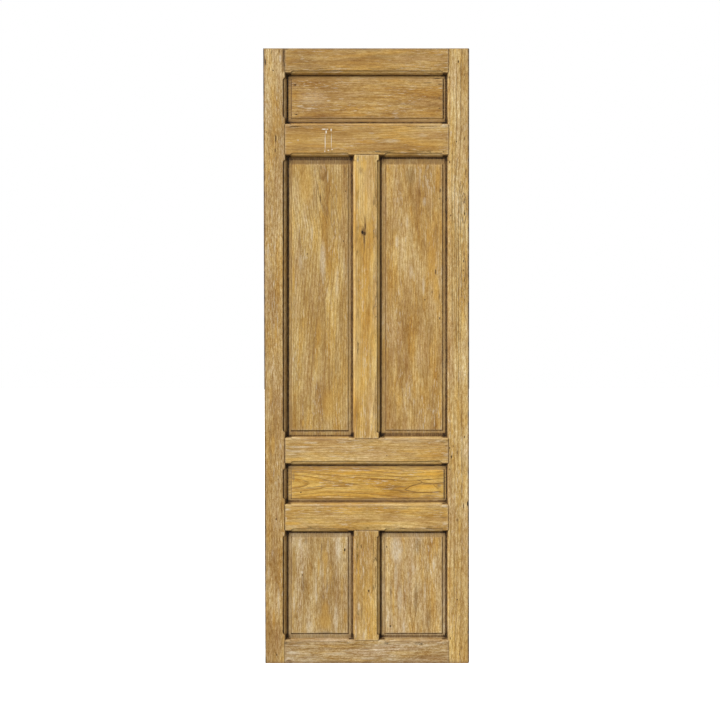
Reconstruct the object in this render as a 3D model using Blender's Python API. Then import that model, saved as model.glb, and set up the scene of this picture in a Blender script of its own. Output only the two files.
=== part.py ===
"""Frame-and-panel interior door leaf, in metres, +Z up.

Two stiles, five rails and two muntins are mortised and tenoned together and hold six raised
panels loose in grooves. The front faces -Y. The origin is on the straight hinge edge (the right
one seen from the front), at mid height and mid thickness, so the leaf runs toward -X.

All widths of frame members are measured between the feet of their mouldings (the sight lines).
"""

import math

import bmesh
import bpy
from mathutils import Matrix

# Whole leaf
DOOR_HEIGHT = 2.1336
DOOR_WIDTH = 0.7112
DOOR_THICKNESS = 0.040
CLOSING_EDGE_TAPER = 0.0071

# Frame members
STILE_WIDTH = 0.077
MUNTIN_WIDTH = 0.094
TOP_RAIL_HEIGHT = 0.0893
FRIEZE_RAIL_HEIGHT = 0.1161
UPPER_LOCK_RAIL_HEIGHT = 0.0966
LOWER_LOCK_RAIL_HEIGHT = 0.0997
BOTTOM_RAIL_HEIGHT = 0.0848

# Openings between the sight lines; the tall opening takes what is left of the height
TOP_OPENING_HEIGHT = 0.1689
LOCK_OPENING_HEIGHT = 0.1338
LOWER_OPENING_HEIGHT = 0.3709

# Front moulding: a mitred chamfer in the corners that runs out into a quirked ovolo
CHAMFER_WIDTH = 0.006
MOULDING_WIDTH = 0.0115
MOULDING_DEPTH = 0.0115
QUIRK_WIDTH = 0.0016
QUIRK_DEPTH = 0.0026
STOP_START = 0.0145
STOP_LENGTH = 0.0125
STOP_STEPS = 4
OVOLO_STEPS = 4

# Back edge of every opening: a plain chamfer
BACK_CHAMFER = 0.006

# Panels; the margin's edge lies below the moulding's foot
FOOT_HEIGHT = 0.0035
PANEL_EDGE_THICKNESS = 0.010
MARGIN_RISE = 0.0015
FIELD_RISE = 0.0025
FIELD_STEP_WIDTH = 0.0014

# Joints
GROOVE_DEPTH = 0.010
GROOVE_PLAY = 0.001
TENON_THICKNESS = 0.012
TENON_SHOULDER = 0.002
HAUNCH_HEIGHT = 0.022
STUB_TENON_LENGTH = 0.028
MORTISE_CLEARANCE = 0.0008
JOINT_GAP = 0.0003

# The frame's inner edges step out from the shoulder to the sight line, just past the chamfer,
# and a lip that meets a butting one stands this far back from the mitre line
LIP_MARGIN = 0.0004
MITRE_EASE = 0.0001

# How far cutters run past the faces that they cut
OVERCUT = 0.001

# Faces that meet at less than this angle are one flat face
FLAT_ANGLE = math.radians(0.1)

FRONT_Y = -DOOR_THICKNESS / 2
BACK_Y = DOOR_THICKNESS / 2
TOP_Z = DOOR_HEIGHT / 2
BOTTOM_Z = -DOOR_HEIGHT / 2
HINGE_X = 0.0
MIDDLE_X = -DOOR_WIDTH / 2
LIP_WIDTH = CHAMFER_WIDTH + LIP_MARGIN
PANEL_FRONT_Y = FRONT_Y + MOULDING_DEPTH + FOOT_HEIGHT
PANEL_BACK_Y = PANEL_FRONT_Y + PANEL_EDGE_THICKNESS
PANEL_TONGUE = GROOVE_DEPTH - GROOVE_PLAY
TENON_SETBACK = GROOVE_DEPTH + TENON_SHOULDER

# Widths of the flat margin round each raised field, from the sight line to the field's step
FIELD_MARGINS = {
    "panel_top": {"left": 0.017, "right": 0.017, "bottom": 0.018, "top": 0.015},
    "panel_upper_left": {"left": 0.017, "right": 0.017, "bottom": 0.0205, "top": 0.0265},
    "panel_upper_right": {"left": 0.020, "right": 0.017, "bottom": 0.0205, "top": 0.0265},
    "panel_lock": {"left": 0.017, "right": 0.017, "bottom": 0.014, "top": 0.0195},
    "panel_lower_left": {"left": 0.017, "right": 0.017, "bottom": 0.014, "top": 0.0195},
    "panel_lower_right": {"left": 0.017, "right": 0.017, "bottom": 0.014, "top": 0.0195},
}

# Waxed old pine, linear colour of each member
WOOD_COLOURS = {
    "stile_left": (0.466, 0.298, 0.118),
    "stile_right": (0.537, 0.358, 0.144),
    "top_rail": (0.451, 0.271, 0.095),
    "frieze_rail": (0.473, 0.281, 0.095),
    "lock_rail_upper": (0.533, 0.342, 0.132),
    "lock_rail_lower": (0.526, 0.330, 0.114),
    "bottom_rail": (0.459, 0.310, 0.148),
    "muntin_upper": (0.533, 0.334, 0.113),
    "muntin_lower": (0.470, 0.293, 0.104),
    "panel_top": (0.443, 0.263, 0.091),
    "panel_upper_left": (0.481, 0.308, 0.114),
    "panel_upper_right": (0.477, 0.295, 0.108),
    "panel_lock": (0.547, 0.320, 0.081),
    "panel_lower_left": (0.464, 0.309, 0.134),
    "panel_lower_right": (0.507, 0.336, 0.145),
}
WOOD_ROUGHNESS = 0.7


class Opening:
    """One opening of the frame, bounded by its sight lines."""

    def __init__(self, left, right, bottom, top):
        self.left = left
        self.right = right
        self.bottom = bottom
        self.top = top


def clear_scene():
    for leftover in list(bpy.data.objects):
        bpy.data.objects.remove(leftover, do_unlink=True)


def new_collection(name):
    collection = bpy.data.collections.new(name)
    bpy.context.scene.collection.children.link(collection)
    return collection


def link_mesh(name, bm, collection):
    """Turn a bmesh with outward faces into a linked object."""
    bmesh.ops.recalc_face_normals(bm, faces=bm.faces)
    mesh = bpy.data.meshes.new(name)
    bm.to_mesh(mesh)
    bm.free()
    made = bpy.data.objects.new(name, mesh)
    collection.objects.link(made)
    return made


def hide_cutter(cutter):
    cutter.hide_render = True
    cutter.display_type = "WIRE"
    return cutter


def board(name, outline, front_y, back_y, collection):
    """Extrude a flat outline of (x, z) points through the thickness."""
    curve = bpy.data.curves.new(name, "CURVE")
    curve.dimensions = "2D"
    curve.fill_mode = "BOTH"
    curve.extrude = (back_y - front_y) / 2
    spline = curve.splines.new("POLY")
    spline.points.add(len(outline) - 1)
    for point, (x, z) in zip(spline.points, outline):
        point.co = (x, z, 0.0, 1.0)
    spline.use_cyclic_u = True
    drawn = bpy.data.objects.new(name + "_outline", curve)
    collection.objects.link(drawn)
    drawn.rotation_euler = (math.pi / 2, 0.0, 0.0)
    drawn.location.y = (front_y + back_y) / 2
    bpy.context.view_layer.update()
    seen = drawn.evaluated_get(bpy.context.evaluated_depsgraph_get())
    flat = bpy.data.meshes.new_from_object(seen)
    bm = bmesh.new()
    bm.from_mesh(flat)
    bm.transform(drawn.matrix_world)
    bmesh.ops.remove_doubles(bm, verts=bm.verts, dist=0.00001)
    bmesh.ops.dissolve_limit(bm, angle_limit=FLAT_ANGLE, verts=bm.verts[:], edges=bm.edges[:])
    bpy.data.objects.remove(drawn, do_unlink=True)
    bpy.data.curves.remove(curve)
    bpy.data.meshes.remove(flat)
    return link_mesh(name, bm, collection)


def box(name, x_range, y_range, z_range, collection):
    bm = bmesh.new()
    bmesh.ops.create_cube(bm, size=1.0)
    size = [high - low for low, high in (x_range, y_range, z_range)]
    centre = [(high + low) / 2 for low, high in (x_range, y_range, z_range)]
    bm.transform(Matrix.Translation(centre) @ Matrix.Diagonal((*size, 1.0)))
    return link_mesh(name, bm, collection)


def loft(name, rings, collection):
    """Skin closed rings of equal point counts and cap both ends."""
    bm = bmesh.new()
    loops = [[bm.verts.new(point) for point in ring] for ring in rings]
    count = len(rings[0])
    for low, high in zip(loops, loops[1:]):
        for index in range(count):
            after = (index + 1) % count
            bm.faces.new((low[index], low[after], high[after], high[index]))
    bm.faces.new(loops[0])
    bm.faces.new(loops[-1])
    return link_mesh(name, bm, collection)


def rectangle_ring(opening, spread, y, trims=None):
    """Rectangle at depth y, spread past the opening's sight lines, less a trim on each side."""
    trims = trims or {"left": 0.0, "right": 0.0, "bottom": 0.0, "top": 0.0}
    left = opening.left - spread + trims["left"]
    right = opening.right + spread - trims["right"]
    bottom = opening.bottom - spread + trims["bottom"]
    top = opening.top + spread - trims["top"]
    return [(left, y, bottom), (right, y, bottom), (right, y, top), (left, y, top)]


def cut(target, cutter):
    modifier = target.modifiers.new(cutter.name, "BOOLEAN")
    modifier.operation = "DIFFERENCE"
    modifier.solver = "EXACT"
    modifier.object = cutter


def join(target, addition):
    modifier = target.modifiers.new(addition.name, "BOOLEAN")
    modifier.operation = "UNION"
    modifier.solver = "EXACT"
    modifier.object = addition


def closing_edge_x(z):
    """The closing edge leans: the leaf is wider at its head than at its foot."""
    return -DOOR_WIDTH - CLOSING_EDGE_TAPER * z / DOOR_HEIGHT


def lay_out_openings():
    """Stack rails and openings down from the head of the leaf."""
    left = -DOOR_WIDTH + STILE_WIDTH
    right = HINGE_X - STILE_WIDTH
    muntin_left = MIDDLE_X - MUNTIN_WIDTH / 2
    muntin_right = MIDDLE_X + MUNTIN_WIDTH / 2
    top_opening_top = TOP_Z - TOP_RAIL_HEIGHT
    top_opening_bottom = top_opening_top - TOP_OPENING_HEIGHT
    tall_top = top_opening_bottom - FRIEZE_RAIL_HEIGHT
    lower_bottom = BOTTOM_Z + BOTTOM_RAIL_HEIGHT
    lower_top = lower_bottom + LOWER_OPENING_HEIGHT
    lock_bottom = lower_top + LOWER_LOCK_RAIL_HEIGHT
    lock_top = lock_bottom + LOCK_OPENING_HEIGHT
    tall_bottom = lock_top + UPPER_LOCK_RAIL_HEIGHT
    return {
        "panel_top": Opening(left, right, top_opening_bottom, top_opening_top),
        "panel_upper_left": Opening(left, muntin_left, tall_bottom, tall_top),
        "panel_upper_right": Opening(muntin_right, right, tall_bottom, tall_top),
        "panel_lock": Opening(left, right, lock_bottom, lock_top),
        "panel_lower_left": Opening(left, muntin_left, lower_bottom, lower_top),
        "panel_lower_right": Opening(muntin_right, right, lower_bottom, lower_top),
    }


def chamfer_section():
    """Corner section as (distance outside the sight line, depth below the face) points."""
    count = OVOLO_STEPS + 3
    deepest = MOULDING_DEPTH + OVERCUT
    points = []
    for index in range(count):
        depth = -OVERCUT + (deepest + OVERCUT) * index / (count - 1)
        points.append((CHAMFER_WIDTH * (1 - depth / MOULDING_DEPTH), depth))
    return points


def ovolo_section():
    """Section of the full moulding: quirk, then a quarter ellipse down to the sight line."""
    radius_across = MOULDING_WIDTH - QUIRK_WIDTH
    radius_deep = MOULDING_DEPTH - QUIRK_DEPTH
    points = [(MOULDING_WIDTH, -OVERCUT), (MOULDING_WIDTH - QUIRK_WIDTH / 3, QUIRK_DEPTH * 1.15)]
    for index in range(OVOLO_STEPS):
        angle = math.pi / 2 * (1 - index / OVOLO_STEPS)
        across = radius_across * (1 - math.cos(angle))
        depth = MOULDING_DEPTH - radius_deep * math.sin(angle)
        points.append((across, depth))
    points.append(chamfer_section()[-1])
    return points


def moulding_stations(length):
    """Places along one side with their share of full moulding, leaving out the corners."""
    first = [(STOP_START, 0.0)]
    for step in range(1, STOP_STEPS + 1):
        along = step / STOP_STEPS
        swell = math.sqrt(1 - (1 - along) ** 2)
        first.append((STOP_START + STOP_LENGTH * along, swell))
    second = [(length - place, share) for place, share in reversed(first)]
    return first + second


def moulding_plug(name, opening, collection):
    """The space of one opening in front of the frame's moulded edges."""
    corner = chamfer_section()
    full = ovolo_section()
    width = opening.right - opening.left
    height = opening.top - opening.bottom
    sides = [
        ((opening.left, opening.bottom), (1, 0), (0, -1), width),
        ((opening.right, opening.bottom), (0, 1), (1, 0), height),
        ((opening.right, opening.top), (-1, 0), (0, 1), width),
        ((opening.left, opening.top), (0, -1), (-1, 0), height),
    ]
    rings = []
    for chamfer_point, full_point in zip(corner, full):
        ring = []
        for start, along, outward, length in sides:
            spread, depth = chamfer_point
            corner_x = start[0] + spread * (outward[0] - along[0])
            corner_z = start[1] + spread * (outward[1] - along[1])
            ring.append((corner_x, FRONT_Y + depth, corner_z))
            for place, share in moulding_stations(length):
                spread = chamfer_point[0] + share * (full_point[0] - chamfer_point[0])
                depth = chamfer_point[1] + share * (full_point[1] - chamfer_point[1])
                x = start[0] + along[0] * place + outward[0] * spread
                z = start[1] + along[1] * place + outward[1] * spread
                ring.append((x, FRONT_Y + depth, z))
        rings.append(ring)
    return hide_cutter(loft(name, rings, collection))


def back_plug(name, opening, collection):
    """Frustum that cuts the plain chamfer round the back of an opening."""
    deepest = rectangle_ring(opening, -OVERCUT, BACK_Y - BACK_CHAMFER - OVERCUT)
    outside = rectangle_ring(opening, BACK_CHAMFER + OVERCUT, BACK_Y + OVERCUT)
    return hide_cutter(loft(name, [deepest, outside], collection))


def panel_groove(name, opening, collection):
    """Box that cuts the panel's groove in every member round an opening."""
    x_range = (opening.left - GROOVE_DEPTH, opening.right + GROOVE_DEPTH)
    y_range = (PANEL_FRONT_Y - JOINT_GAP, PANEL_BACK_Y + JOINT_GAP)
    z_range = (opening.bottom - GROOVE_DEPTH, opening.top + GROOVE_DEPTH)
    return hide_cutter(box(name, x_range, y_range, z_range, collection))


def edge_line(start, end, lips, butt_gap):
    """One long edge of a member, with a mitred lip out to the sight line at each opening.

    Points are (along, across). Each lip is (from, to, sight level, outward sign). Between two
    lips the edge is let in by the butt gap, where another member ends against it.
    """
    points = [(start, lips[0][2] - lips[0][3] * LIP_WIDTH)]
    for index, (first, last, sight_level, outward) in enumerate(lips):
        drop_before = LIP_WIDTH + (butt_gap if index > 0 else 0.0)
        drop_after = LIP_WIDTH + (butt_gap if index < len(lips) - 1 else 0.0)
        points.append((first - drop_before, sight_level - outward * drop_before))
        points.append((first, sight_level))
        points.append((last, sight_level))
        points.append((last + drop_after, sight_level - outward * drop_after))
    points.append((end, points[-1][1]))
    kept = [points[0]]
    for point in points[1:]:
        if math.dist(point, kept[-1]) > JOINT_GAP / 10:
            kept.append(point)
    return kept


def closed_outline(low_edge, high_edge, upright):
    """Close two (along, across) edges into (x, z) points, for a rail or an upright."""
    points = low_edge + list(reversed(high_edge))
    if upright:
        return [(across, along) for along, across in points]
    return points


def rail_lips(openings, names, side):
    """Lips of a rail beside the named openings: it butts on the stiles, and muntins butt on it."""
    lips = []
    for name in names:
        opening = openings[name]
        left_gap = JOINT_GAP if name == names[0] else MITRE_EASE
        right_gap = JOINT_GAP if name == names[-1] else MITRE_EASE
        outward = 1 if side == "bottom" else -1
        lips.append((opening.left + left_gap, opening.right - right_gap, getattr(opening, side), outward))
    return lips


def upright_lips(openings, names, side, gap):
    """Lips of a stile or muntin beside the named openings."""
    lips = []
    for name in names:
        opening = openings[name]
        outward = 1 if side == "left" else -1
        lips.append((opening.bottom + gap, opening.top - gap, getattr(opening, side), outward))
    return lips


def build_rail(name, openings, above, below, places):
    """One rail with through tenons, and the cutter of its mortises in both stiles.

    Above and below name the openings that the rail borders.
    """
    full_opening = openings["panel_top"]
    start = full_opening.left - LIP_WIDTH + JOINT_GAP
    end = full_opening.right + LIP_WIDTH - JOINT_GAP
    if below:
        low_edge = edge_line(start, end, rail_lips(openings, below, "top"), JOINT_GAP)
        tenon_bottom = openings[below[0]].top + TENON_SETBACK
    else:
        low_edge = [(start, BOTTOM_Z), (end, BOTTOM_Z)]
        tenon_bottom = BOTTOM_Z + HAUNCH_HEIGHT
    if above:
        high_edge = edge_line(start, end, rail_lips(openings, above, "bottom"), JOINT_GAP)
        tenon_top = openings[above[0]].bottom - TENON_SETBACK
    else:
        high_edge = [(start, TOP_Z), (end, TOP_Z)]
        tenon_top = TOP_Z - HAUNCH_HEIGHT
    rail = board(name, closed_outline(low_edge, high_edge, False), FRONT_Y, BACK_Y, places["parts"])
    tenon_outline = [
        (closing_edge_x(tenon_bottom), tenon_bottom),
        (HINGE_X, tenon_bottom),
        (HINGE_X, tenon_top),
        (closing_edge_x(tenon_top), tenon_top),
    ]
    half = TENON_THICKNESS / 2
    tenon = hide_cutter(board(name + "_tenon", tenon_outline, -half, half, places["cutters"]))
    mortise = box(
        name + "_mortise",
        (closing_edge_x(TOP_Z) - OVERCUT, HINGE_X + OVERCUT),
        (-half - JOINT_GAP, half + JOINT_GAP),
        (tenon_bottom - JOINT_GAP, tenon_top + JOINT_GAP),
        places["cutters"],
    )
    join(rail, tenon)
    return rail, hide_cutter(mortise)


def build_muntin(name, openings, left_name, right_name, places):
    """One muntin with a stub tenon at each end, and the cutter of its two blind mortises."""
    left_opening = openings[left_name]
    right_opening = openings[right_name]
    start = left_opening.bottom - LIP_WIDTH
    end = left_opening.top + LIP_WIDTH
    left_edge = edge_line(start, end, upright_lips(openings, [left_name], "right", JOINT_GAP), 0.0)
    right_edge = edge_line(start, end, upright_lips(openings, [right_name], "left", JOINT_GAP), 0.0)
    outline = closed_outline(left_edge, right_edge, True)
    muntin = board(name, outline, FRONT_Y, BACK_Y, places["parts"])
    half = TENON_THICKNESS / 2
    tenon_left = left_opening.right + TENON_SETBACK
    tenon_right = right_opening.left - TENON_SETBACK
    tenon = box(
        name + "_tenon",
        (tenon_left, tenon_right),
        (-half, half),
        (start - STUB_TENON_LENGTH, end + STUB_TENON_LENGTH),
        places["cutters"],
    )
    mortise_reach = STUB_TENON_LENGTH + MORTISE_CLEARANCE
    mortise = box(
        name + "_mortise",
        (tenon_left - JOINT_GAP, tenon_right + JOINT_GAP),
        (-half - JOINT_GAP, half + JOINT_GAP),
        (start - mortise_reach, end + mortise_reach),
        places["cutters"],
    )
    join(muntin, hide_cutter(tenon))
    return muntin, hide_cutter(mortise)


def build_stile(name, openings, bordered, is_closing, places):
    """One stile; its outer edge is plumb on the hinge side and leans on the closing side."""
    if is_closing:
        outer = [(BOTTOM_Z, closing_edge_x(BOTTOM_Z)), (TOP_Z, closing_edge_x(TOP_Z))]
        inner = edge_line(BOTTOM_Z, TOP_Z, upright_lips(openings, bordered, "left", MITRE_EASE), 0.0)
        outline = closed_outline(outer, inner, True)
    else:
        outer = [(BOTTOM_Z, HINGE_X), (TOP_Z, HINGE_X)]
        inner = edge_line(BOTTOM_Z, TOP_Z, upright_lips(openings, bordered, "right", MITRE_EASE), 0.0)
        outline = closed_outline(inner, outer, True)
    return board(name, outline, FRONT_Y, BACK_Y, places["parts"])


def build_panel(name, opening, places):
    """One raised panel: tongue, sloping margin, stepped field, flat back."""
    trims = FIELD_MARGINS[name]
    margin_top_y = PANEL_FRONT_Y - MARGIN_RISE
    field_y = margin_top_y - FIELD_RISE
    rings = [
        rectangle_ring(opening, PANEL_TONGUE, PANEL_BACK_Y),
        rectangle_ring(opening, PANEL_TONGUE, PANEL_FRONT_Y),
        rectangle_ring(opening, 0.0, PANEL_FRONT_Y),
        rectangle_ring(opening, 0.0, margin_top_y, trims),
        rectangle_ring(opening, -FIELD_STEP_WIDTH, field_y, trims),
    ]
    return loft(name, rings, places["parts"])


def paint(piece):
    red, green, blue = WOOD_COLOURS[piece.name]
    wood = bpy.data.materials.new(piece.name + "_wood")
    wood.use_nodes = True
    wood.diffuse_color = (red, green, blue, 1.0)
    shader = wood.node_tree.nodes["Principled BSDF"]
    shader.inputs["Base Color"].default_value = (red, green, blue, 1.0)
    shader.inputs["Roughness"].default_value = WOOD_ROUGHNESS
    shader.inputs["Metallic"].default_value = 0.0
    piece.data.materials.clear()
    piece.data.materials.append(wood)


def build_door():
    places = {"parts": new_collection("interior_door"), "cutters": new_collection("cutters")}
    openings = lay_out_openings()
    upper_pair = ["panel_upper_left", "panel_upper_right"]
    lower_pair = ["panel_lower_left", "panel_lower_right"]
    rail_borders = {
        "top_rail": ([], ["panel_top"]),
        "frieze_rail": (["panel_top"], upper_pair),
        "lock_rail_upper": (upper_pair, ["panel_lock"]),
        "lock_rail_lower": (["panel_lock"], lower_pair),
        "bottom_rail": (lower_pair, []),
    }
    borders = {}
    members = {}
    through_mortises = []
    for name, (above, below) in rail_borders.items():
        members[name], mortise = build_rail(name, openings, above, below, places)
        borders[name] = above + below
        through_mortises.append(mortise)

    muntin_pairs = {"muntin_upper": upper_pair, "muntin_lower": lower_pair}
    muntin_rails = {
        "muntin_upper": ["frieze_rail", "lock_rail_upper"],
        "muntin_lower": ["lock_rail_lower", "bottom_rail"],
    }
    for name, pair in muntin_pairs.items():
        members[name], mortise = build_muntin(name, openings, pair[0], pair[1], places)
        borders[name] = pair
        for rail_name in muntin_rails[name]:
            cut(members[rail_name], mortise)

    stile_borders = {
        "stile_left": ["panel_lower_left", "panel_lock", "panel_upper_left", "panel_top"],
        "stile_right": ["panel_lower_right", "panel_lock", "panel_upper_right", "panel_top"],
    }
    for name, bordered in stile_borders.items():
        is_closing = name == "stile_left"
        members[name] = build_stile(name, openings, bordered, is_closing, places)
        borders[name] = bordered
        for mortise in through_mortises:
            cut(members[name], mortise)

    for opening_name, opening in openings.items():
        cutters = [
            moulding_plug(opening_name + "_moulding", opening, places["cutters"]),
            back_plug(opening_name + "_back", opening, places["cutters"]),
            panel_groove(opening_name + "_groove", opening, places["cutters"]),
        ]
        for member_name, bordered in borders.items():
            if opening_name in bordered:
                for cutter in cutters:
                    cut(members[member_name], cutter)

    panels = [build_panel(name, opening, places) for name, opening in openings.items()]
    for piece in list(members.values()) + panels:
        paint(piece)


clear_scene()
build_door()
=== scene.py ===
import math

import bpy
import numpy as np
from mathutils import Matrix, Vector


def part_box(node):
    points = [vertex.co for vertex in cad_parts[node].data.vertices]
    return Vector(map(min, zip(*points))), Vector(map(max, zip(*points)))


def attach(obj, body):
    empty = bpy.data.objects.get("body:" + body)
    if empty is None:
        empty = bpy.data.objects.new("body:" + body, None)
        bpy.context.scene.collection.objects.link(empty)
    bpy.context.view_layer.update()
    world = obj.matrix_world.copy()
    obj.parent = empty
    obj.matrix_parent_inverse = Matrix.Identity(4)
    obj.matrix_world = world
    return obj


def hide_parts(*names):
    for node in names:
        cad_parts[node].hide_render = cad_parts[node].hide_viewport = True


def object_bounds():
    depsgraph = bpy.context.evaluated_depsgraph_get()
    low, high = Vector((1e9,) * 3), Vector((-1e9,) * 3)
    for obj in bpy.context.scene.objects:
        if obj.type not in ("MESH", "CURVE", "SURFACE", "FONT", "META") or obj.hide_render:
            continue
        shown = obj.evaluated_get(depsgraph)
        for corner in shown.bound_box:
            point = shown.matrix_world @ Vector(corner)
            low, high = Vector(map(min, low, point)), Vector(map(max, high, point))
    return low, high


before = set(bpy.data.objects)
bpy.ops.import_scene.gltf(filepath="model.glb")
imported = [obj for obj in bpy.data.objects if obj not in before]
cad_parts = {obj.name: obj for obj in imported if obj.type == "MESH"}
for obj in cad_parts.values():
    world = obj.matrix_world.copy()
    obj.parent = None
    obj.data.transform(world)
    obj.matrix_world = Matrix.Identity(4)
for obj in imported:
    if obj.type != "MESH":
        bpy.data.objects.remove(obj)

CAD_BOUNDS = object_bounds()
MM = 0.001

# The leaf's own planes, in metres
FACE_Y = CAD_BOUNDS[0].y
BACK_Y = CAD_BOUNDS[1].y
HEAD_Z = CAD_BOUNDS[1].z
FOOT_Z = CAD_BOUNDS[0].z
HINGE_X = CAD_BOUNDS[1].x
LEAF_WIDTH = 711.2 * MM
CLOSING_TAPER = 7.1 * MM

# Joints, as the solids have them
LIP = 6.4 * MM
JOINT_GAP = 0.3 * MM
MITRE_GAP = 0.1 * MM
TONGUE = 9 * MM
GROOVE_DEPTH = 10 * MM
GROOVE_HALF = 5.3 * MM
TENON_HALF = 6 * MM
MORTISE_HALF = 6.15 * MM
TENON_SETBACK = 12 * MM
HAUNCH = 22 * MM
STUB_LENGTH = 28 * MM
POCKET_DEPTH = 34 * MM

# Stopped moulding on the front, plain chamfer on the back
CHAMFER = 6 * MM
MOULDING = 11.5 * MM
QUIRK_WIDTH = 1.6 * MM
QUIRK_DEPTH = 2.6 * MM
STOP_START = 14.5 * MM
STOP_LENGTH = 12.5 * MM
OVOLO_STEPS = 7
BACK_CHAMFER = 6 * MM
BEVEL = 0.5 * MM

# Raised panels
MARGIN_Y = FACE_Y + 15 * MM
MARGIN_RISE = 1.5 * MM
FIELD_RISE = 2.5 * MM
PANEL_BACK_Y = 5 * MM

# Mesh spacing
ROW_SPACING = 4.6 * MM
COLUMN_SPACING = 3.6 * MM
SLANT_STEP = 2.6 * MM
SLANT_REACH = 4 * SLANT_STEP
CLOSEST_ROWS = 0.45 * MM
LINE_GAP = 0.15 * MM

# How far in the line of an arris lies, as a share of its radius, and slack for comparisons
ARRIS_SHARE = 0.293
TINY = 1e-7
SMALL = 1e-6

# Cells of the square that every noise repeats over
NOISE_CELLS = 128

# Widths of the margins round each panel's field, in mm
FIELD_MARGINS = {
    "panel_top": {"left": 17, "right": 12.5, "bottom": 18, "top": 15},
    "panel_upper_left": {"left": 17, "right": 17, "bottom": 20.5, "top": 26.5},
    "panel_upper_right": {"left": 20, "right": 14, "bottom": 22, "top": 26.5},
    "panel_lock": {"left": 17, "right": 9, "bottom": 14, "top": 19.5},
    "panel_lower_left": {"left": 17, "right": 17, "bottom": 15.5, "top": 20.5},
    "panel_lower_right": {"left": 17, "right": 15.5, "bottom": 16, "top": 20.5},
}


class Opening:
    """One opening of the frame, bounded by its sight lines."""

    def __init__(self, panel):
        low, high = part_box(panel)
        self.left = low.x + TONGUE
        self.right = high.x - TONGUE
        self.bottom = low.z + TONGUE
        self.top = high.z - TONGUE


OPENINGS = {name: Opening(name) for name in FIELD_MARGINS}
UPPER_PAIR = ["panel_upper_left", "panel_upper_right"]
LOWER_PAIR = ["panel_lower_left", "panel_lower_right"]
LEFT_COLUMN = ["panel_lower_left", "panel_lock", "panel_upper_left", "panel_top"]
RIGHT_COLUMN = ["panel_lower_right", "panel_lock", "panel_upper_right", "panel_top"]


def seed_of(text):
    return sum(ord(letter) * (place + 3) for place, letter in enumerate(text))


def value_noise(x, y, seed):
    """Smooth noise from -1 to 1 whose features are about one unit across."""
    lattice = np.random.default_rng(seed).uniform(-1.0, 1.0, (NOISE_CELLS, NOISE_CELLS))
    x, y = np.broadcast_arrays(np.asarray(x, float), np.asarray(y, float))
    column = np.floor(x).astype(int)
    row = np.floor(y).astype(int)
    across = x - column
    down = y - row
    across = across * across * (3 - 2 * across)
    down = down * down * (3 - 2 * down)
    near = lattice[column % NOISE_CELLS, row % NOISE_CELLS]
    right = lattice[(column + 1) % NOISE_CELLS, row % NOISE_CELLS]
    below = lattice[column % NOISE_CELLS, (row + 1) % NOISE_CELLS]
    far = lattice[(column + 1) % NOISE_CELLS, (row + 1) % NOISE_CELLS]
    top = near + (right - near) * across
    bottom = below + (far - below) * across
    return top + (bottom - top) * down


def layered_noise(x, y, seed, layers=3):
    total = 0.0
    weight = 1.0
    reach = 0.0
    for layer in range(layers):
        scale = 2**layer
        total = total + weight * value_noise(x * scale + 17.3 * layer, y * scale, seed + layer)
        reach += weight
        weight *= 0.55
    return total / reach


def smooth_step(low, high, value):
    share = np.clip((value - low) / (high - low), 0.0, 1.0)
    return share * share * (3 - 2 * share)


def bell(distance, width):
    return np.exp(-((distance / width) ** 2))


def round_over(distance, radius):
    """Depth that a rounded arris loses at a distance from its edge."""
    inside = np.clip(radius - np.maximum(distance, ARRIS_SHARE * radius), 0.0, None)
    return radius - np.sqrt(np.maximum(radius**2 - inside**2, 0.0))


def stations(hard, soft, spacing):
    """Sorted places: all the hard ones, soft ones where there is room, and fill between them."""
    places = sorted({round(place, 6) for place in hard})
    for place in sorted(soft):
        nearest = min(abs(place - other) for other in places)
        if places[0] < place < places[-1] and nearest > CLOSEST_ROWS:
            places.append(place)
            places.sort()
    filled = [places[0]]
    for low, high in zip(places, places[1:]):
        count = max(1, math.ceil((high - low) / spacing - SMALL))
        filled.extend(low + (high - low) * step / count for step in range(1, count + 1))
    return np.array(filled)


def closing_edge_x(z):
    return HINGE_X - LEAF_WIDTH - CLOSING_TAPER * z / (HEAD_Z - FOOT_Z)


def moulding_sections():
    """Matched (offset from the sight line, depth) points: corner chamfer and full moulding.

    Both start at the foot of the moulding; the last points lie on the face.
    """
    radius_across = MOULDING - QUIRK_WIDTH
    radius_deep = MOULDING - QUIRK_DEPTH
    full = []
    for step in range(OVOLO_STEPS + 1):
        angle = math.pi / 2 * step / OVOLO_STEPS
        full.append((radius_across * (1 - math.cos(angle)), MOULDING - radius_deep * math.sin(angle)))
    full.append((MOULDING - 0.6 * MM, QUIRK_DEPTH + 0.4 * MM))
    full.append((MOULDING - 0.1 * MM, 0.7 * MM))
    full.append((MOULDING + 0.6 * MM, 0.0))
    count = len(full)
    corner = []
    for step in range(count - 1):
        share = step / (count - 2)
        corner.append(((CHAMFER - 0.15 * MM) * share, MOULDING * (1 - share) + 0.35 * MM * share))
    corner.append((LIP, 0.0))
    for narrow, wide in ((6.95, 12.7), (8.3, 13.9), (11, 15.9), (14.5, 18), (18.5, 20.5)):
        corner.append((narrow * MM, 0.0))
        full.append((wide * MM, 0.0))
    return np.array(corner), np.array(full), count - 1


CORNER_SECTION, FULL_SECTION, LIP_COLUMN = moulding_sections()

# Dirt and painted shade on each line of the moulding, from its foot over the ovolo to the quirk and the
# arris; mouldings that face right or down, away from the light, get more as painted shade
MOULDING_SOIL_AND_SHADE = {
    "right": [0.10, 0.16, 0.22, 0.24, 0.24, 0.28, 0.40, 0.85, 1.0, 1.0, 0.9, 0.5, 0.1],
    "down": [0.10, 0.05, 0.03, 0.03, 0.03, 0.04, 0.06, 0.24, 0.70, 0.44, 0.1, 0.0, 0.0],
    "left": [0.45, 0.25, 0.12, 0.05, 0.05, 0.05, 0.05, 0.10, 0.32, 0.05, 0.0, 0.0, 0.0],
    "up": [0.30, 0.25, 0.20, 0.18, 0.15, 0.10, 0.10, 0.20, 0.50, 0.30, 0.12, 0.0, 0.0],
}
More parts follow.
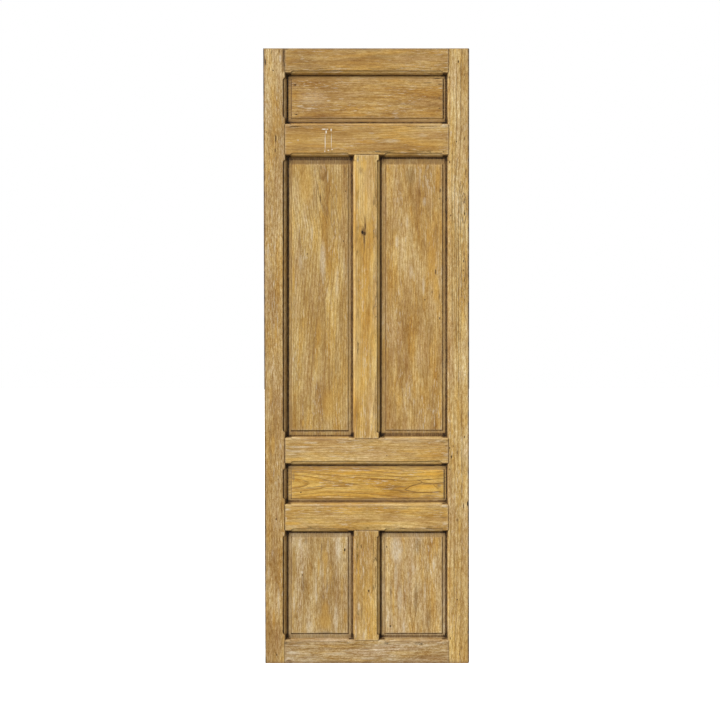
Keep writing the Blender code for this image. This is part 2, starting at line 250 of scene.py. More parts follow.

# The same where one board differs: the right stile's moulding is darkest at its foot, dirt and painted shade
# in the groove
BOARD_MOULDING_SOIL_AND_SHADE = {
    "stile_right": [1.0, 0.90, 0.75, 0.50, 0.25, 0.08, 0.05, 0.10, 0.32, 0.05, 0.0, 0.0, 0.0],
}

# Dirt on the plain outer edges, from the arris inwards; on the right stile it also paints the shade of its
# rounded arris
EDGE_SOIL_AND_SHADE = {
    "stile_left": [1.0, 1.0, 0.9, 0.6, 0.10, 0.0],
    "stile_right": [1.0, 1.0, 1.0, 0.55, 0.25, 0.0],
    "bottom_rail": [0.85, 0.75, 0.62, 0.52, 0.44, 0.32],
}
PLAIN_EDGE_SOIL = [0.62, 0.56, 0.46, 0.36, 0.22, 0.08]


class Edge:
    """One long edge of a board: plain, or moulded with a lip at each opening that it borders."""

    def __init__(self, sign, level, lips=(), seed=0, facing="", chips=(), lean=False):
        self.sign = sign
        self.facing = facing
        self.shaded = facing in ("right", "down")
        self.level_value = level
        self.lips = list(lips)
        self.seed = seed
        self.chips = chips
        self.lean = lean
        self.corners = []
        self.rounding = 1.25
        self.widening = 1.0

    def level(self, u):
        line = closing_edge_x(u) if self.lean else np.full(u.shape, self.level_value)
        for end, radius in self.corners:
            inside = np.clip(radius - np.abs(u - end), 0.0, None)
            line = line - self.sign * (radius - np.sqrt(radius**2 - inside**2))
        return line

    def radius(self, u):
        """Wear of a plain outer arris along the board."""
        wear = self.rounding + 0.5 * layered_noise(u / 0.09, 0.5, self.seed)
        wear = wear + 0.35 * value_noise(u / 0.012, 2.5, self.seed)
        for place, width, amount in self.chips:
            wear = wear + amount * bell(u - place, width)
        return np.clip(wear, 0.6, 7.0) * MM

    def share(self, u):
        """How much of the full moulding there is, from 0 at the corners to 1."""
        share = np.zeros(u.shape)
        for number, (first, last) in enumerate(self.lips):
            for way, origin in enumerate((first, last)):
                late = 2.2 * MM * np.random.default_rng(self.seed + 10 * number + way).uniform(-1, 1)
                place = (u - origin) if way == 0 else (origin - u)
                part = np.clip((place - STOP_START - late) / STOP_LENGTH, 0.0, 1.0)
                swell = np.sqrt(1 - (1 - part) ** 2)
                inside = swell if way == 0 else np.minimum(inside, swell)
            share = np.maximum(share, inside)
        return share

    def inside(self, u):
        """Whether places along the board lie within a lip, mitres included."""
        found = np.zeros(u.shape, bool)
        for first, last in self.lips:
            found |= (u > first - LIP - TINY) & (u < last + LIP + TINY)
        return found

    def slant(self, u):
        """Shift along the board of the lip's outermost line, which makes the mitres."""
        shift = np.zeros(u.shape)
        for first, last in self.lips:
            low = first - LIP
            high = last + LIP
            rise = np.clip(1 - (u - low) / SLANT_REACH, 0, 1) * (u > low - TINY)
            fall = np.clip(1 - (high - u) / SLANT_REACH, 0, 1) * (u < high + TINY)
            shift += (rise - fall) * LIP
        return shift

    def columns(self, u):
        """Offsets from the edge, depths below the face and shifts along, for each column."""
        if not self.lips:
            return self.plain_columns(u)
        share = self.share(u)[:, None]
        offset = CORNER_SECTION[:, 0] + share * (FULL_SECTION * self.widening - CORNER_SECTION)[:, 0]
        depth = CORNER_SECTION[:, 1] + share * (FULL_SECTION - CORNER_SECTION)[:, 1]
        wander = 0.25 * MM * layered_noise(u / 0.05, 7.5, self.seed)[:, None] * share
        middle = np.zeros(len(CORNER_SECTION))
        middle[2 : LIP_COLUMN + 1] = 1.0
        offset = offset + wander * middle
        worn = 0.35 * MM * (0.5 + 0.5 * layered_noise(u / 0.03, 9.5, self.seed))[:, None] * share
        edge_wear = np.zeros(len(CORNER_SECTION))
        edge_wear[LIP_COLUMN - 1] = 1.0
        depth = depth + worn * edge_wear
        weights = np.clip(1 - CORNER_SECTION[:, 0] / LIP, 0, 1)
        butt = ~self.inside(u)
        distance = offset - LIP
        bevel = np.clip(BEVEL - distance, 0, BEVEL) * butt[:, None]
        depth = np.where(distance > -TINY, depth + bevel, depth)
        return offset, depth, self.slant(u)[:, None] * weights

    def plain_columns(self, u):
        """The same for a plain edge: three columns over its arris and three on the face."""
        radius = self.radius(u)
        fixed = np.array([3.4, 5.8, 8.8]) * MM + 0 * u[:, None]
        near = radius[:, None] * np.array([ARRIS_SHARE, 0.6, 1.0])
        fixed = np.maximum(fixed, near[:, 2:3] + np.array([0.8, 1.8, 3.0]) * MM)
        offset = np.concatenate([near, fixed], 1)
        return offset, round_over(offset, radius[:, None]), np.zeros(offset.shape)

    def soft_rows(self):
        places = []
        for end, radius in self.corners:
            way = 1 if end < 0 else -1
            places += [end + way * step * MM for step in (2.1, 2.9, 3.9, 5.1, 6.5)]
        for first, last in self.lips:
            for origin, way in ((first, 1), (last, -1)):
                places += [origin + way * (step * SLANT_STEP - LIP) for step in (1, 2, 3, 4)]
                places += [origin + way * (STOP_START + step * 1.3 * MM) for step in range(-2, 13)]
        return places

    def hard_rows(self):
        places = []
        for first, last in self.lips:
            places += [first - LIP, last + LIP]
        return places


# Rings round a board, in mm: below each face, and at fixed depths for the joinery between them
FRONT_RINGS = [0.9, 2.0, 4.6, 9.0]
FIXED_RINGS = [-6.35, -6.15, -6.0, -5.3, 0.0, 5.3, 6.0, 6.15, 6.35]
FACE_TO_FIXED = 13.65


def wall_levels(front, back):
    """Heights of the rings that join the front to the back, for each point of the rim."""
    rows = []
    for place in FRONT_RINGS:
        rows.append(front + (FIXED_RINGS[0] * MM - front) * place / FACE_TO_FIXED)
    rows.extend(np.full(front.shape, place * MM) for place in FIXED_RINGS)
    for place in reversed(FRONT_RINGS):
        rows.append(back + (FIXED_RINGS[-1] * MM - back) * place / FACE_TO_FIXED)
    return rows


# Dirt along the shoulders of the rails: its width in mm, and its strength
JOINT_SOIL = {
    "top_rail": (2.2, 0.95),
    "frieze_rail": (1.5, 0.80),
    "lock_rail_upper": (2.6, 0.95),
    "lock_rail_lower": (2.4, 0.90),
    "bottom_rail": (6.0, 0.42),
}
PLAIN_JOINT_SOIL = (1.3, 0.95)
# Above this height the left stile's joint is darkest farther from the rail
HEAD_JOINT_Z = 0.98

# Arris of the stiles' ends
END_RADIUS = 1.2 * MM

# What a point of a board's rim lies on
SIGHT_LINE = 1
PLAIN_EDGE = 2
BUTTED_EDGE = 3
BOARD_END = 4


def grid_faces(number, upright, cells=None):
    """Faces between the points of a grid, turned to look out of the front."""
    if cells is None:
        cells = np.ones((number.shape[0] - 1, number.shape[1] - 1), bool)
    row, column = np.nonzero(cells)
    corners = [number[row, column], number[row + 1, column]]
    corners += [number[row + 1, column + 1], number[row, column + 1]]
    if upright:
        corners = [corners[0], corners[3], corners[2], corners[1]]
    return np.stack(corners, 1)


def rim_edges(faces, count):
    """First and second points of the edges that only one face has."""
    first = faces.ravel()
    second = np.roll(faces, -1, axis=1).ravel()
    rim = ~np.isin(first * count + second, second * count + first)
    return first[rim], second[rim]


def row_of(count, first, values):
    """Weights for the columns of one edge, zero outside the given ones."""
    row = np.zeros(count)
    row[first : first + len(values)] = values
    return row


class Board:
    """One member of the frame as a closed mesh, with u along the grain and v across it.

    A grid of rows and columns makes the front, and the same grid makes the back. Rings join them
    round the rim, and the rings near mid thickness step in for grooves and mortises, or out for
    tenons.
    """

    def __init__(self, name, upright, start, end, low, high):
        self.name = name
        self.upright = upright
        self.start = start
        self.end = end
        self.low = low
        self.high = high
        self.plain_ends = False
        self.tenon = None
        self.tenon_tips = None
        self.mortises = []
        self.mortise_depth = POCKET_DEPTH
        self.sunk = 0.0
        self.seed = seed_of(name)

    def build(self):
        rows = self.lay_grid()
        true_u, true_v = self.round_rim(rows)
        front = self.front_face()
        back_v, back = self.back_face(rows)
        used = np.zeros(self.u.shape, bool)
        for down, side in ((0, 0), (0, 1), (1, 0), (1, 1)):
            near = used[down : used.shape[0] - 1 + down, side : used.shape[1] - 1 + side]
            near |= self.cells
        count = int(used.sum())
        number = np.full(used.shape, -1)
        number[used] = np.arange(count)
        faces = grid_faces(number, self.upright, self.cells)
        first, second = rim_edges(faces, count)
        points = np.unique(first)
        place = np.full(count, -1)
        place[points] = np.arange(len(points))

        rim = {"u": true_u, "v": true_v, "kind": self.rim_kinds(rows)}
        rim.update({"sign_u": self.sign_u, "sign_v": self.sign_v, "radius_u": self.radius_u})
        rim.update({"radius_v": self.radius_v, "front": front, "back": back})
        rings = self.wall_rings({key: grid[used][points] for key, grid in rim.items()})
        walls = []
        low_first, low_second = first, second
        for level in range(len(rings)):
            base = 2 * count + level * len(points)
            high_first = base + place[first]
            high_second = base + place[second]
            walls.append(np.stack([low_second, low_first, high_first, high_second], 1))
            low_first, low_second = high_first, high_second
        walls.append(np.stack([low_second, low_first, count + first, count + second], 1))

        soil, worn = self.front_wear_and_shading(rows)
        plain_u = self.u[used]
        # soil holds dirt and painted shade, worn holds pale wear and painted highlight; the back takes a
        # share of the front's
        self.soil = np.concatenate([soil[used], 0.5 * soil[used], self.wall_soil(rings)])
        self.worn = np.concatenate([worn[used], 0.3 * worn[used], np.zeros(len(rings) * len(points))])
        self.u = np.concatenate([plain_u, plain_u] + [ring[0] for ring in rings])
        self.v = np.concatenate([self.v[used], back_v[used]] + [ring[1] for ring in rings])
        self.y = np.concatenate([front[used], back[used]] + [ring[2] for ring in rings])
        self.faces = np.concatenate([faces, faces[:, ::-1] + count] + walls)

    def lay_grid(self):
        """Rows along the grain, and columns across: moulding or edge, flat face, moulding or edge."""
        hard = self.low.hard_rows() + self.high.hard_rows()
        for end, way in ((self.start, 1), (self.end, -1)):
            hard += [end + way * place * MM for place in (0.0, 0.7, 1.4)]
        for low, high in self.mortises:
            hard += [low - LINE_GAP, low, high, high + LINE_GAP]
        rows = stations(hard, self.low.soft_rows() + self.high.soft_rows(), ROW_SPACING)
        low_offset, low_depth, low_shift = self.low.columns(rows)
        high_offset, high_depth, high_shift = self.high.columns(rows)
        low_v = self.low.level(rows)[:, None] + low_offset
        high_v = (self.high.level(rows)[:, None] - high_offset)[:, ::-1]
        inner = [low_v[:, -1].max() + 1.5 * MM, high_v[:, 0].min() - 1.5 * MM]
        if self.tenon:
            inner += [self.tenon[0] - LINE_GAP, self.tenon[0], self.tenon[1], self.tenon[1] + LINE_GAP]
        middle = stations(inner, [], COLUMN_SPACING)
        flat = np.zeros((len(rows), len(middle)))
        self.v = np.concatenate([low_v, middle + flat, high_v], 1)
        self.depth = np.concatenate([low_depth, flat, high_depth[:, ::-1]], 1)
        self.shift = np.concatenate([low_shift, flat, high_shift[:, ::-1]], 1)
        self.u = rows[:, None] + self.shift

        last = self.u.shape[1] - 1
        low_count = low_offset.shape[1]
        high_count = high_offset.shape[1]
        self.sides = [(self.low, low_count, slice(0, low_count))]
        self.sides.append((self.high, high_count, slice(last + 1 - high_count, last + 1)))
        self.cells = np.ones((len(rows) - 1, last), bool)
        halfway = (rows[:-1] + rows[1:]) / 2
        self.low_rim = np.zeros(len(rows), int)
        self.high_rim = np.full(len(rows), last)
        if self.low.lips:
            self.cells[~self.low.inside(halfway), :LIP_COLUMN] = False
            self.low_rim[~self.low.inside(rows)] = LIP_COLUMN
        if self.high.lips:
            self.cells[~self.high.inside(halfway), last - LIP_COLUMN :] = False
            self.high_rim[~self.high.inside(rows)] = last - LIP_COLUMN
        return rows

    def round_rim(self, rows):
        """Radii of the plain arrises, whose front lines sit halfway round, and the square rim."""
        true_u = self.u.copy()
        true_v = self.v.copy()
        columns = np.arange(self.u.shape[1])[None, :]
        self.radius_u = np.zeros(self.u.shape)
        self.radius_v = np.zeros(self.u.shape)
        self.sign_u = np.zeros(self.u.shape)
        self.sign_v = np.zeros(self.u.shape)
        self.sign_v[columns == self.low_rim[:, None]] = -1
        self.sign_v[columns == self.high_rim[:, None]] = 1
        self.sign_u[0, :] = -1
        self.sign_u[-1, :] = 1
        for edge, column in ((self.low, 0), (self.high, -1)):
            if not edge.lips:
                self.radius_v[:, column] = edge.radius(rows)
                true_v[:, column] = edge.level(rows)
        distance = np.minimum(rows - rows[0], rows[-1] - rows)[:, None]
        if self.plain_ends:
            self.radius_u[0, :] = END_RADIUS
            self.radius_u[-1, :] = END_RADIUS
            self.u[0, :] += ARRIS_SHARE * END_RADIUS
            self.u[-1, :] -= ARRIS_SHARE * END_RADIUS
            self.end_loss = round_over(distance, END_RADIUS)
            self.depth = np.maximum(self.depth, self.end_loss + 0 * self.depth)
        else:
            self.end_loss = np.clip(BEVEL / 2 - distance, 0, BEVEL)
            shoulder = np.clip(BEVEL - distance, 0, BEVEL)
            face = (self.shift == 0) & (self.depth < BEVEL)
            self.depth = np.where(face, np.maximum(self.depth, shoulder), self.depth)
        return true_u, true_v

    def front_face(self):
        flat = smooth_step(2.5 * MM, 0.0, self.depth)
        return FACE_Y + self.depth + self.dressing(self.u, self.v) * flat + self.sunk * flat

    def back_face(self, rows):
        """The back has a plain chamfer round every opening and no moulding."""
        back_v = self.v.copy()
        depth = np.zeros(self.u.shape) + self.end_loss
        for edge, count, columns in self.sides:
            if edge.lips:
                offset = CORNER_SECTION[:, 0] + 0 * rows[:, None]
                chamfer = BACK_CHAMFER * np.clip(1 - offset / CHAMFER, 0, 1)
                butt = (~edge.inside(rows))[:, None] & (offset > LIP - TINY)
                chamfer = chamfer + np.clip(BEVEL / 2 - (offset - LIP), 0, BEVEL / 2) * butt
                line = edge.level(rows)[:, None] - edge.sign * offset
                if edge.sign > 0:
                    line = line[:, ::-1]
                    chamfer = chamfer[:, ::-1]
                back_v[:, columns] = line
                depth[:, columns] = np.maximum(depth[:, columns], chamfer)
            else:
                offset = np.abs(self.v[:, columns] - edge.level(rows)[:, None])
                rounded = round_over(offset, edge.radius(rows)[:, None])
                depth[:, columns] = np.maximum(depth[:, columns], rounded)
        rough = self.dressing(self.u + 3.7, back_v)
        return back_v, BACK_Y - depth - 0.7 * rough * smooth_step(2.5 * MM, 0.0, depth)

    def wall_rings(self, rim):
        """The rings of points that join the front to the back, as (u, v, y)."""
        rings = []
        for y in wall_levels(rim["front"], rim["back"]):
            shallow = np.minimum(y - FACE_Y, BACK_Y - y)
            move_u, move_v = self.joinery(rim, y)
            ring_u = rim["u"] - rim["sign_u"] * round_over(shallow, rim["radius_u"])
            ring_v = rim["v"] - rim["sign_v"] * round_over(shallow, rim["radius_v"])
            rings.append((ring_u + move_u, ring_v + move_v, y))
        return rings

    def dressing(self, u, v):
        """Shallow hollows that planing and wear left in a face, never above it."""
        broad = 0.28 * (0.5 + 0.5 * layered_noise(u / 0.17, v / 0.045, self.seed + 3))
        rows = 0.07 * (0.5 + 0.5 * value_noise(u / 0.06, v / 0.008, self.seed + 5))
        dents = np.zeros(u.shape)
        chance = np.random.default_rng(self.seed + 7)
        span = self.end - self.start
        for dent in range(int(span / 0.045)):
            centre_u = self.start + span * chance.uniform(0.02, 0.98)
            centre_v = chance.uniform(self.low.level_value, self.high.level_value)
            size = chance.uniform(2.5, 6.0) * MM
            amount = chance.uniform(0.1, 0.45)
            near = np.abs(u - centre_u) < 4 * size
            if near.any():
                shape = bell(np.hypot((u - centre_u) / 1.8, v - centre_v), size)
                dents += np.where(near, amount * shape, 0)
        return (broad + rows + dents) * MM

    def rim_kinds(self, rows):
        """What each rim point lies on: a sight line, a plain edge, a butted edge or an end."""
        last = self.u.shape[1] - 1
        kind = np.zeros(self.u.shape)
        for edge, columns in ((self.low, self.low_rim), (self.high, self.high_rim)):
            for row, column in enumerate(columns):
                if not edge.lips:
                    kind[row, column] = PLAIN_EDGE
                elif column in (0, last):
                    kind[row, column] = SIGHT_LINE
                else:
                    kind[row, column] = BUTTED_EDGE
            for first, last_place in edge.lips:
                for place in (first - LIP, last_place + LIP):
                    row = int(np.argmin(np.abs(rows - place)))
                    kind[row, columns[row]] = 0
        for row in (0, -1):
            kind[row] = np.where(kind[row] == 0, BOARD_END, kind[row])
        return kind

    def joinery(self, rim, y):
        """Grooves, mortises and tenons, as moves of the wall's rings."""
        kind, u, v = rim["kind"], rim["u"], rim["v"]
        move_u = np.zeros(u.shape)
        move_v = np.zeros(u.shape)
        groove = (kind == SIGHT_LINE) & (np.abs(y) < GROOVE_HALF + SMALL)
        move_v[groove] = -rim["sign_v"][groove] * GROOVE_DEPTH
        for low, high in self.mortises:
            pocket = (u > low - SMALL) & (u < high + SMALL) & (np.abs(y) < MORTISE_HALF + SMALL)
            pocket &= (kind == PLAIN_EDGE) | (kind == BUTTED_EDGE)
            move_v[pocket] = -rim["sign_v"][pocket] * self.mortise_depth
        if self.tenon:
            inside = (v > self.tenon[0] - SMALL) & (v < self.tenon[1] + SMALL)
            inside &= (kind == BOARD_END) & (np.abs(y) < TENON_HALF + SMALL)
            start, end = self.tenon_tips(v)
            move_u[inside] = (np.where(rim["sign_u"] < 0, start, end) - u)[inside]
        return move_u, move_v

    def front_wear_and_shading(self, rows):
        """Dirt and painted shade in the mouldings, dirt in the joints, and pale wear with painted highlights
        on the arrises, for the front.
        """
        u, v = self.u, self.v
        soil = np.zeros(u.shape)
        worn = np.zeros(u.shape)
        mottle = 0.5 + 0.5 * layered_noise(u / 0.02, v / 0.006, self.seed + 21)
        patches = 0.5 + 0.5 * layered_noise(u / 0.12, v / 0.05, self.seed + 23)
        for edge, count, columns in self.sides:
            wear = self.moulding_wear_and_shading if edge.lips else self.plain_edge_wear
            line, pale = wear(edge, rows, count, mottle[:, :1], patches[:, :1])
            if edge is self.high:
                line = line[:, ::-1]
                pale = pale[:, ::-1]
            soil[:, columns] = np.maximum(soil[:, columns], line)
            worn[:, columns] = np.maximum(worn[:, columns], pale)
        distance = np.minimum(rows - rows[0], rows[-1] - rows)[:, None] + 0 * u
        if self.plain_ends:
            reach = np.where((rows < 0)[:, None], 8 * MM, 2.5 * MM)
            soil = np.maximum(soil, 0.45 * bell(distance, reach))
        else:
            width, strength = JOINT_SOIL.get(self.name, PLAIN_JOINT_SOIL)
            soil = np.maximum(soil, bell(distance, width * MM) * strength * (0.35 + 0.9 * mottle))
            worn = np.maximum(worn, 0.6 * bell(distance - 2.5 * MM, 3 * MM) * mottle)
        return np.clip(soil, 0, 1), np.clip(worn, 0, 1)

    def moulding_wear_and_shading(self, edge, rows, count, mottle, patches):
        """Dirt and painted shade over a moulding, pale wear with a painted highlight on lit arrises, and the
        line of dirt where a rail butts on the board.
        """
        share = edge.share(rows)[:, None]
        weights = row_of(count, 0, BOARD_MOULDING_SOIL_AND_SHADE.get(self.name, MOULDING_SOIL_AND_SHADE[edge.facing]))
        # At the stops the corners are darker, more on the shaded sides: dirt and painted shade
        corner = row_of(count, 0, np.linspace(1.0, 0.3 if edge.shaded else 0.1, LIP_COLUMN))
        line = (share * weights + (1 - share) * corner) * (0.75 + 0.35 * patches)
        fade = row_of(count, LIP_COLUMN - 1, [0.7, 1.0, 0.8, 0.3])
        # Edges that face up get a wider, stronger pale band
        if edge.facing == "up":
            fade[4 : LIP_COLUMN + 5] = np.linspace(0.9, 1.6, LIP_COLUMN + 1)
            fade[LIP_COLUMN + 3 : LIP_COLUMN + 6] = [1.3, 0.9, 0.4]
        # Pale wear on the arris, stronger on the lit sides as a painted highlight
        pale = fade * (0.15 if edge.shaded else 0.28) * (0.15 + 1.0 * patches) + 0 * share
        at_head = (self.name == "stile_left") & (rows > HEAD_JOINT_Z)[:, None]
        joint = row_of(count, LIP_COLUMN, [0.8, 0.5, 0.1])
        head_joint = row_of(count, LIP_COLUMN, [0.2, 0.3, 0.55, 0.85, 0.3])
        joint = np.where(at_head, head_joint, joint)
        butt = (~edge.inside(rows))[:, None]
        return np.where(butt, joint * (0.35 + 0.9 * mottle), line), np.where(butt, 0.0, pale)

    def plain_edge_wear(self, edge, rows, count, mottle, patches):
        grime_and_shade = np.array(EDGE_SOIL_AND_SHADE.get(self.name, PLAIN_EDGE_SOIL))
        pale = np.array([0.0, 0.1, 0.4, 0.4, 0.1, 0.0]) * (0.2 + 0.8 * patches)
        return grime_and_shade * (0.45 + 0.75 * mottle), pale

    def wall_soil(self, rings):
        """Even dirt on the walls, and more on the end grain of the tenons."""
        soil = []
        for u, v, y in rings:
            tip = (u < self.start - MM) | (u > self.end + MM)
            soil.append(np.where(tip, 0.48, 0.25))
        return np.concatenate(soil)


def lips_along_x(names, gap_at_ends):
    lips = []
    for name in names:
        opening = OPENINGS[name]
        left = gap_at_ends if name == names[0] else MITRE_GAP
        right = gap_at_ends if name == names[-1] else MITRE_GAP
        lips.append((opening.left + left, opening.right - right))
    return lips


def lips_along_z(names, gap):
    return [(OPENINGS[name].bottom + gap, OPENINGS[name].top - gap) for name in names]


def rail_tips(v):
    """Where a rail's tenons end: flush with the leaf's two long edges, or just short of them."""
    return closing_edge_x(v) + 0.25 * MM, np.full(v.shape, HINGE_X - 0.2 * MM)


def rail_tenon(above, below):
    low = OPENINGS[below[0]].top + TENON_SETBACK if below else FOOT_Z + HAUNCH
    high = OPENINGS[above[0]].bottom - TENON_SETBACK if above else HEAD_Z - HAUNCH
    return low, high


# The panels above and below each rail
RAILS = {
    "top_rail": ([], ["panel_top"]),
    "frieze_rail": (["panel_top"], UPPER_PAIR),
    "lock_rail_upper": (UPPER_PAIR, ["panel_lock"]),
    "lock_rail_lower": (["panel_lock"], LOWER_PAIR),
    "bottom_rail": (LOWER_PAIR, []),
}


def make_rail(name):
    above, below = RAILS[name]
    seed = seed_of(name)
    wide = OPENINGS["panel_top"]
    if below:
        level = OPENINGS[below[0]].top
        low = Edge(-1, level, lips_along_x(below, JOINT_GAP), seed + 100, "down")
    else:
        low = Edge(-1, FOOT_Z, seed=seed + 100)
    if above:
        level = OPENINGS[above[0]].bottom
        high = Edge(1, level, lips_along_x(above, JOINT_GAP), seed + 200, "up")
    else:
        high = Edge(1, HEAD_Z, seed=seed + 200)
    rail = Board(name, False, wide.left - LIP + JOINT_GAP, wide.right + LIP - JOINT_GAP, low, high)
    rail.tenon = rail_tenon(above, below)
    rail.tenon_tips = rail_tips
    if len(above) == 2 or len(below) == 2:
        rail.mortises = [MUNTIN_TENON_WIDE]
        rail.mortise_depth = STUB_LENGTH + 0.8 * MM
    rail.sunk = 0.25 * MM
    return rail


# Where a muntin's tenon lies across it, and the mortise for it
MUNTIN_TENON = (
    OPENINGS["panel_upper_left"].right + TENON_SETBACK,
    OPENINGS["panel_upper_right"].left - TENON_SETBACK,
)
MUNTIN_TENON_WIDE = (MUNTIN_TENON[0] - 0.3 * MM, MUNTIN_TENON[1] + 0.3 * MM)


def make_muntin(name, left, right):
    seed = seed_of(name)
    start = OPENINGS[left].bottom - LIP + JOINT_GAP
    end = OPENINGS[left].top + LIP - JOINT_GAP
    low = Edge(-1, OPENINGS[left].right, lips_along_z([left], JOINT_GAP), seed + 100, "left")
    high = Edge(1, OPENINGS[right].left, lips_along_z([right], JOINT_GAP), seed + 200, "right")
    high.widening = 1.24
    muntin = Board(name, True, start, end, low, high)
    muntin.tenon = MUNTIN_TENON
    muntin.tenon_tips = lambda v: (np.full(v.shape, start - STUB_LENGTH), np.full(v.shape, end + STUB_LENGTH))
    muntin.sunk = 0.15 * MM
    return muntin


# Damage along the outer edges: (height, half length, how much more rounding in mm)
RIGHT_CHIPS = [(-0.5085, 0.006, 3.0), (-0.960, 0.004, 2.5), (-0.985, 0.018, 2.0), (0.315, 0.02, 1.0)]
LEFT_CHIPS = [(1.03, 0.012, 1.6), (0.78, 0.006, 1.2), (-0.82, 0.015, 1.0), (-1.03, 0.02, 1.5)]

# Rounding of the leaf's corners in mm, as seen from the front
CORNER_WEAR = {
    "stile_left": [(FOOT_Z, 3.5), (HEAD_Z, 1.8)],
    "stile_right": [(FOOT_Z, 6.5), (HEAD_Z, 2.6)],
}


def make_stile(name):
    seed = seed_of(name)
    if name == "stile_left":
        low = Edge(-1, HINGE_X - LEAF_WIDTH, seed=seed + 100, chips=LEFT_CHIPS, lean=True)
        level = OPENINGS["panel_top"].left
        high = Edge(1, level, lips_along_z(LEFT_COLUMN, MITRE_GAP), seed + 200, "right")
    else:
        level = OPENINGS["panel_top"].right
        low = Edge(-1, level, lips_along_z(RIGHT_COLUMN, MITRE_GAP), seed + 100, "left")
        high = Edge(1, HINGE_X, seed=seed + 200, chips=RIGHT_CHIPS)
    outer = low if name == "stile_left" else high
    outer.rounding = 1.5 if name == "stile_left" else 2.2
    for end, radius in CORNER_WEAR[name]:
        outer.corners.append((end, radius * MM))
    stile = Board(name, True, FOOT_Z, HEAD_Z, low, high)
    stile.plain_ends = True
    for above, below in RAILS.values():
        low_z, high_z = rail_tenon(above, below)
        stile.mortises.append((low_z - LINE_GAP, high_z + LINE_GAP))
    return stile


# Dirt over the whole of a top margin
MARGIN_GRIME = {
    "panel_upper_left": 0.52,
    "panel_upper_right": 0.44,
    "panel_lower_left": 0.30,
    "panel_lower_right": 0.32,
}


def margin_soil_and_shadow(left, top, right, bottom, lines):
    """Bands of dirt and painted shadow round a panel, as (mm in from the frame, half width, strength), and
    lines.

    The lines lie along the step of the field: left, top, right and bottom.
    """
    bands = (left, top, right, bottom)
    return {side: (band, line) for side, band, line in zip(("left", "top", "right", "bottom"), bands, lines)}


# Each band paints the frame's shadow on the margin as well as dirt
MARGIN_SOIL_AND_SHADOW = {
    "panel_top": margin_soil_and_shadow(
        (3.6, 2.6, 0.95), (2.2, 0.9, 1.0), (1.8, 3.6, 0.78), (3.2, 3.6, 0.80), (0.60, 0.0, 0.95, 0.0)
    ),
    "panel_upper_left": margin_soil_and_shadow(
        (5.0, 2.4, 0.95), (6.2, 2.0, 1.0), (4.4, 4.0, 0.68), (3.8, 3.0, 0.68), (0.35, 0.1, 0.2, 1.0)
    ),
    "panel_upper_right": margin_soil_and_shadow(
        (2.4, 1.6, 0.95), (5.0, 2.6, 1.0), (1.8, 3.4, 0.78), (6.5, 5.5, 0.62), (0.50, 0.1, 0.70, 0.5)
    ),
    "panel_lock": margin_soil_and_shadow(
        (1.8, 1.6, 1.0), (4.8, 1.8, 0.95), (0.4, 2.2, 1.0), (5.2, 2.4, 0.64), (0.40, 0.0, 1.0, 0.0)
    ),
    "panel_lower_left": margin_soil_and_shadow(
        (4.2, 2.4, 0.95), (3.2, 2.2, 0.85), (3.2, 3.8, 0.72), (5.0, 4.5, 0.36), (0.42, 0.1, 0.60, 1.0)
    ),
    "panel_lower_right": margin_soil_and_shadow(
        (2.8, 1.7, 1.0), (3.2, 2.2, 0.85), (1.8, 3.4, 0.86), (7.0, 4.5, 0.66), (0.50, 0.1, 0.60, 0.9)
    ),
}


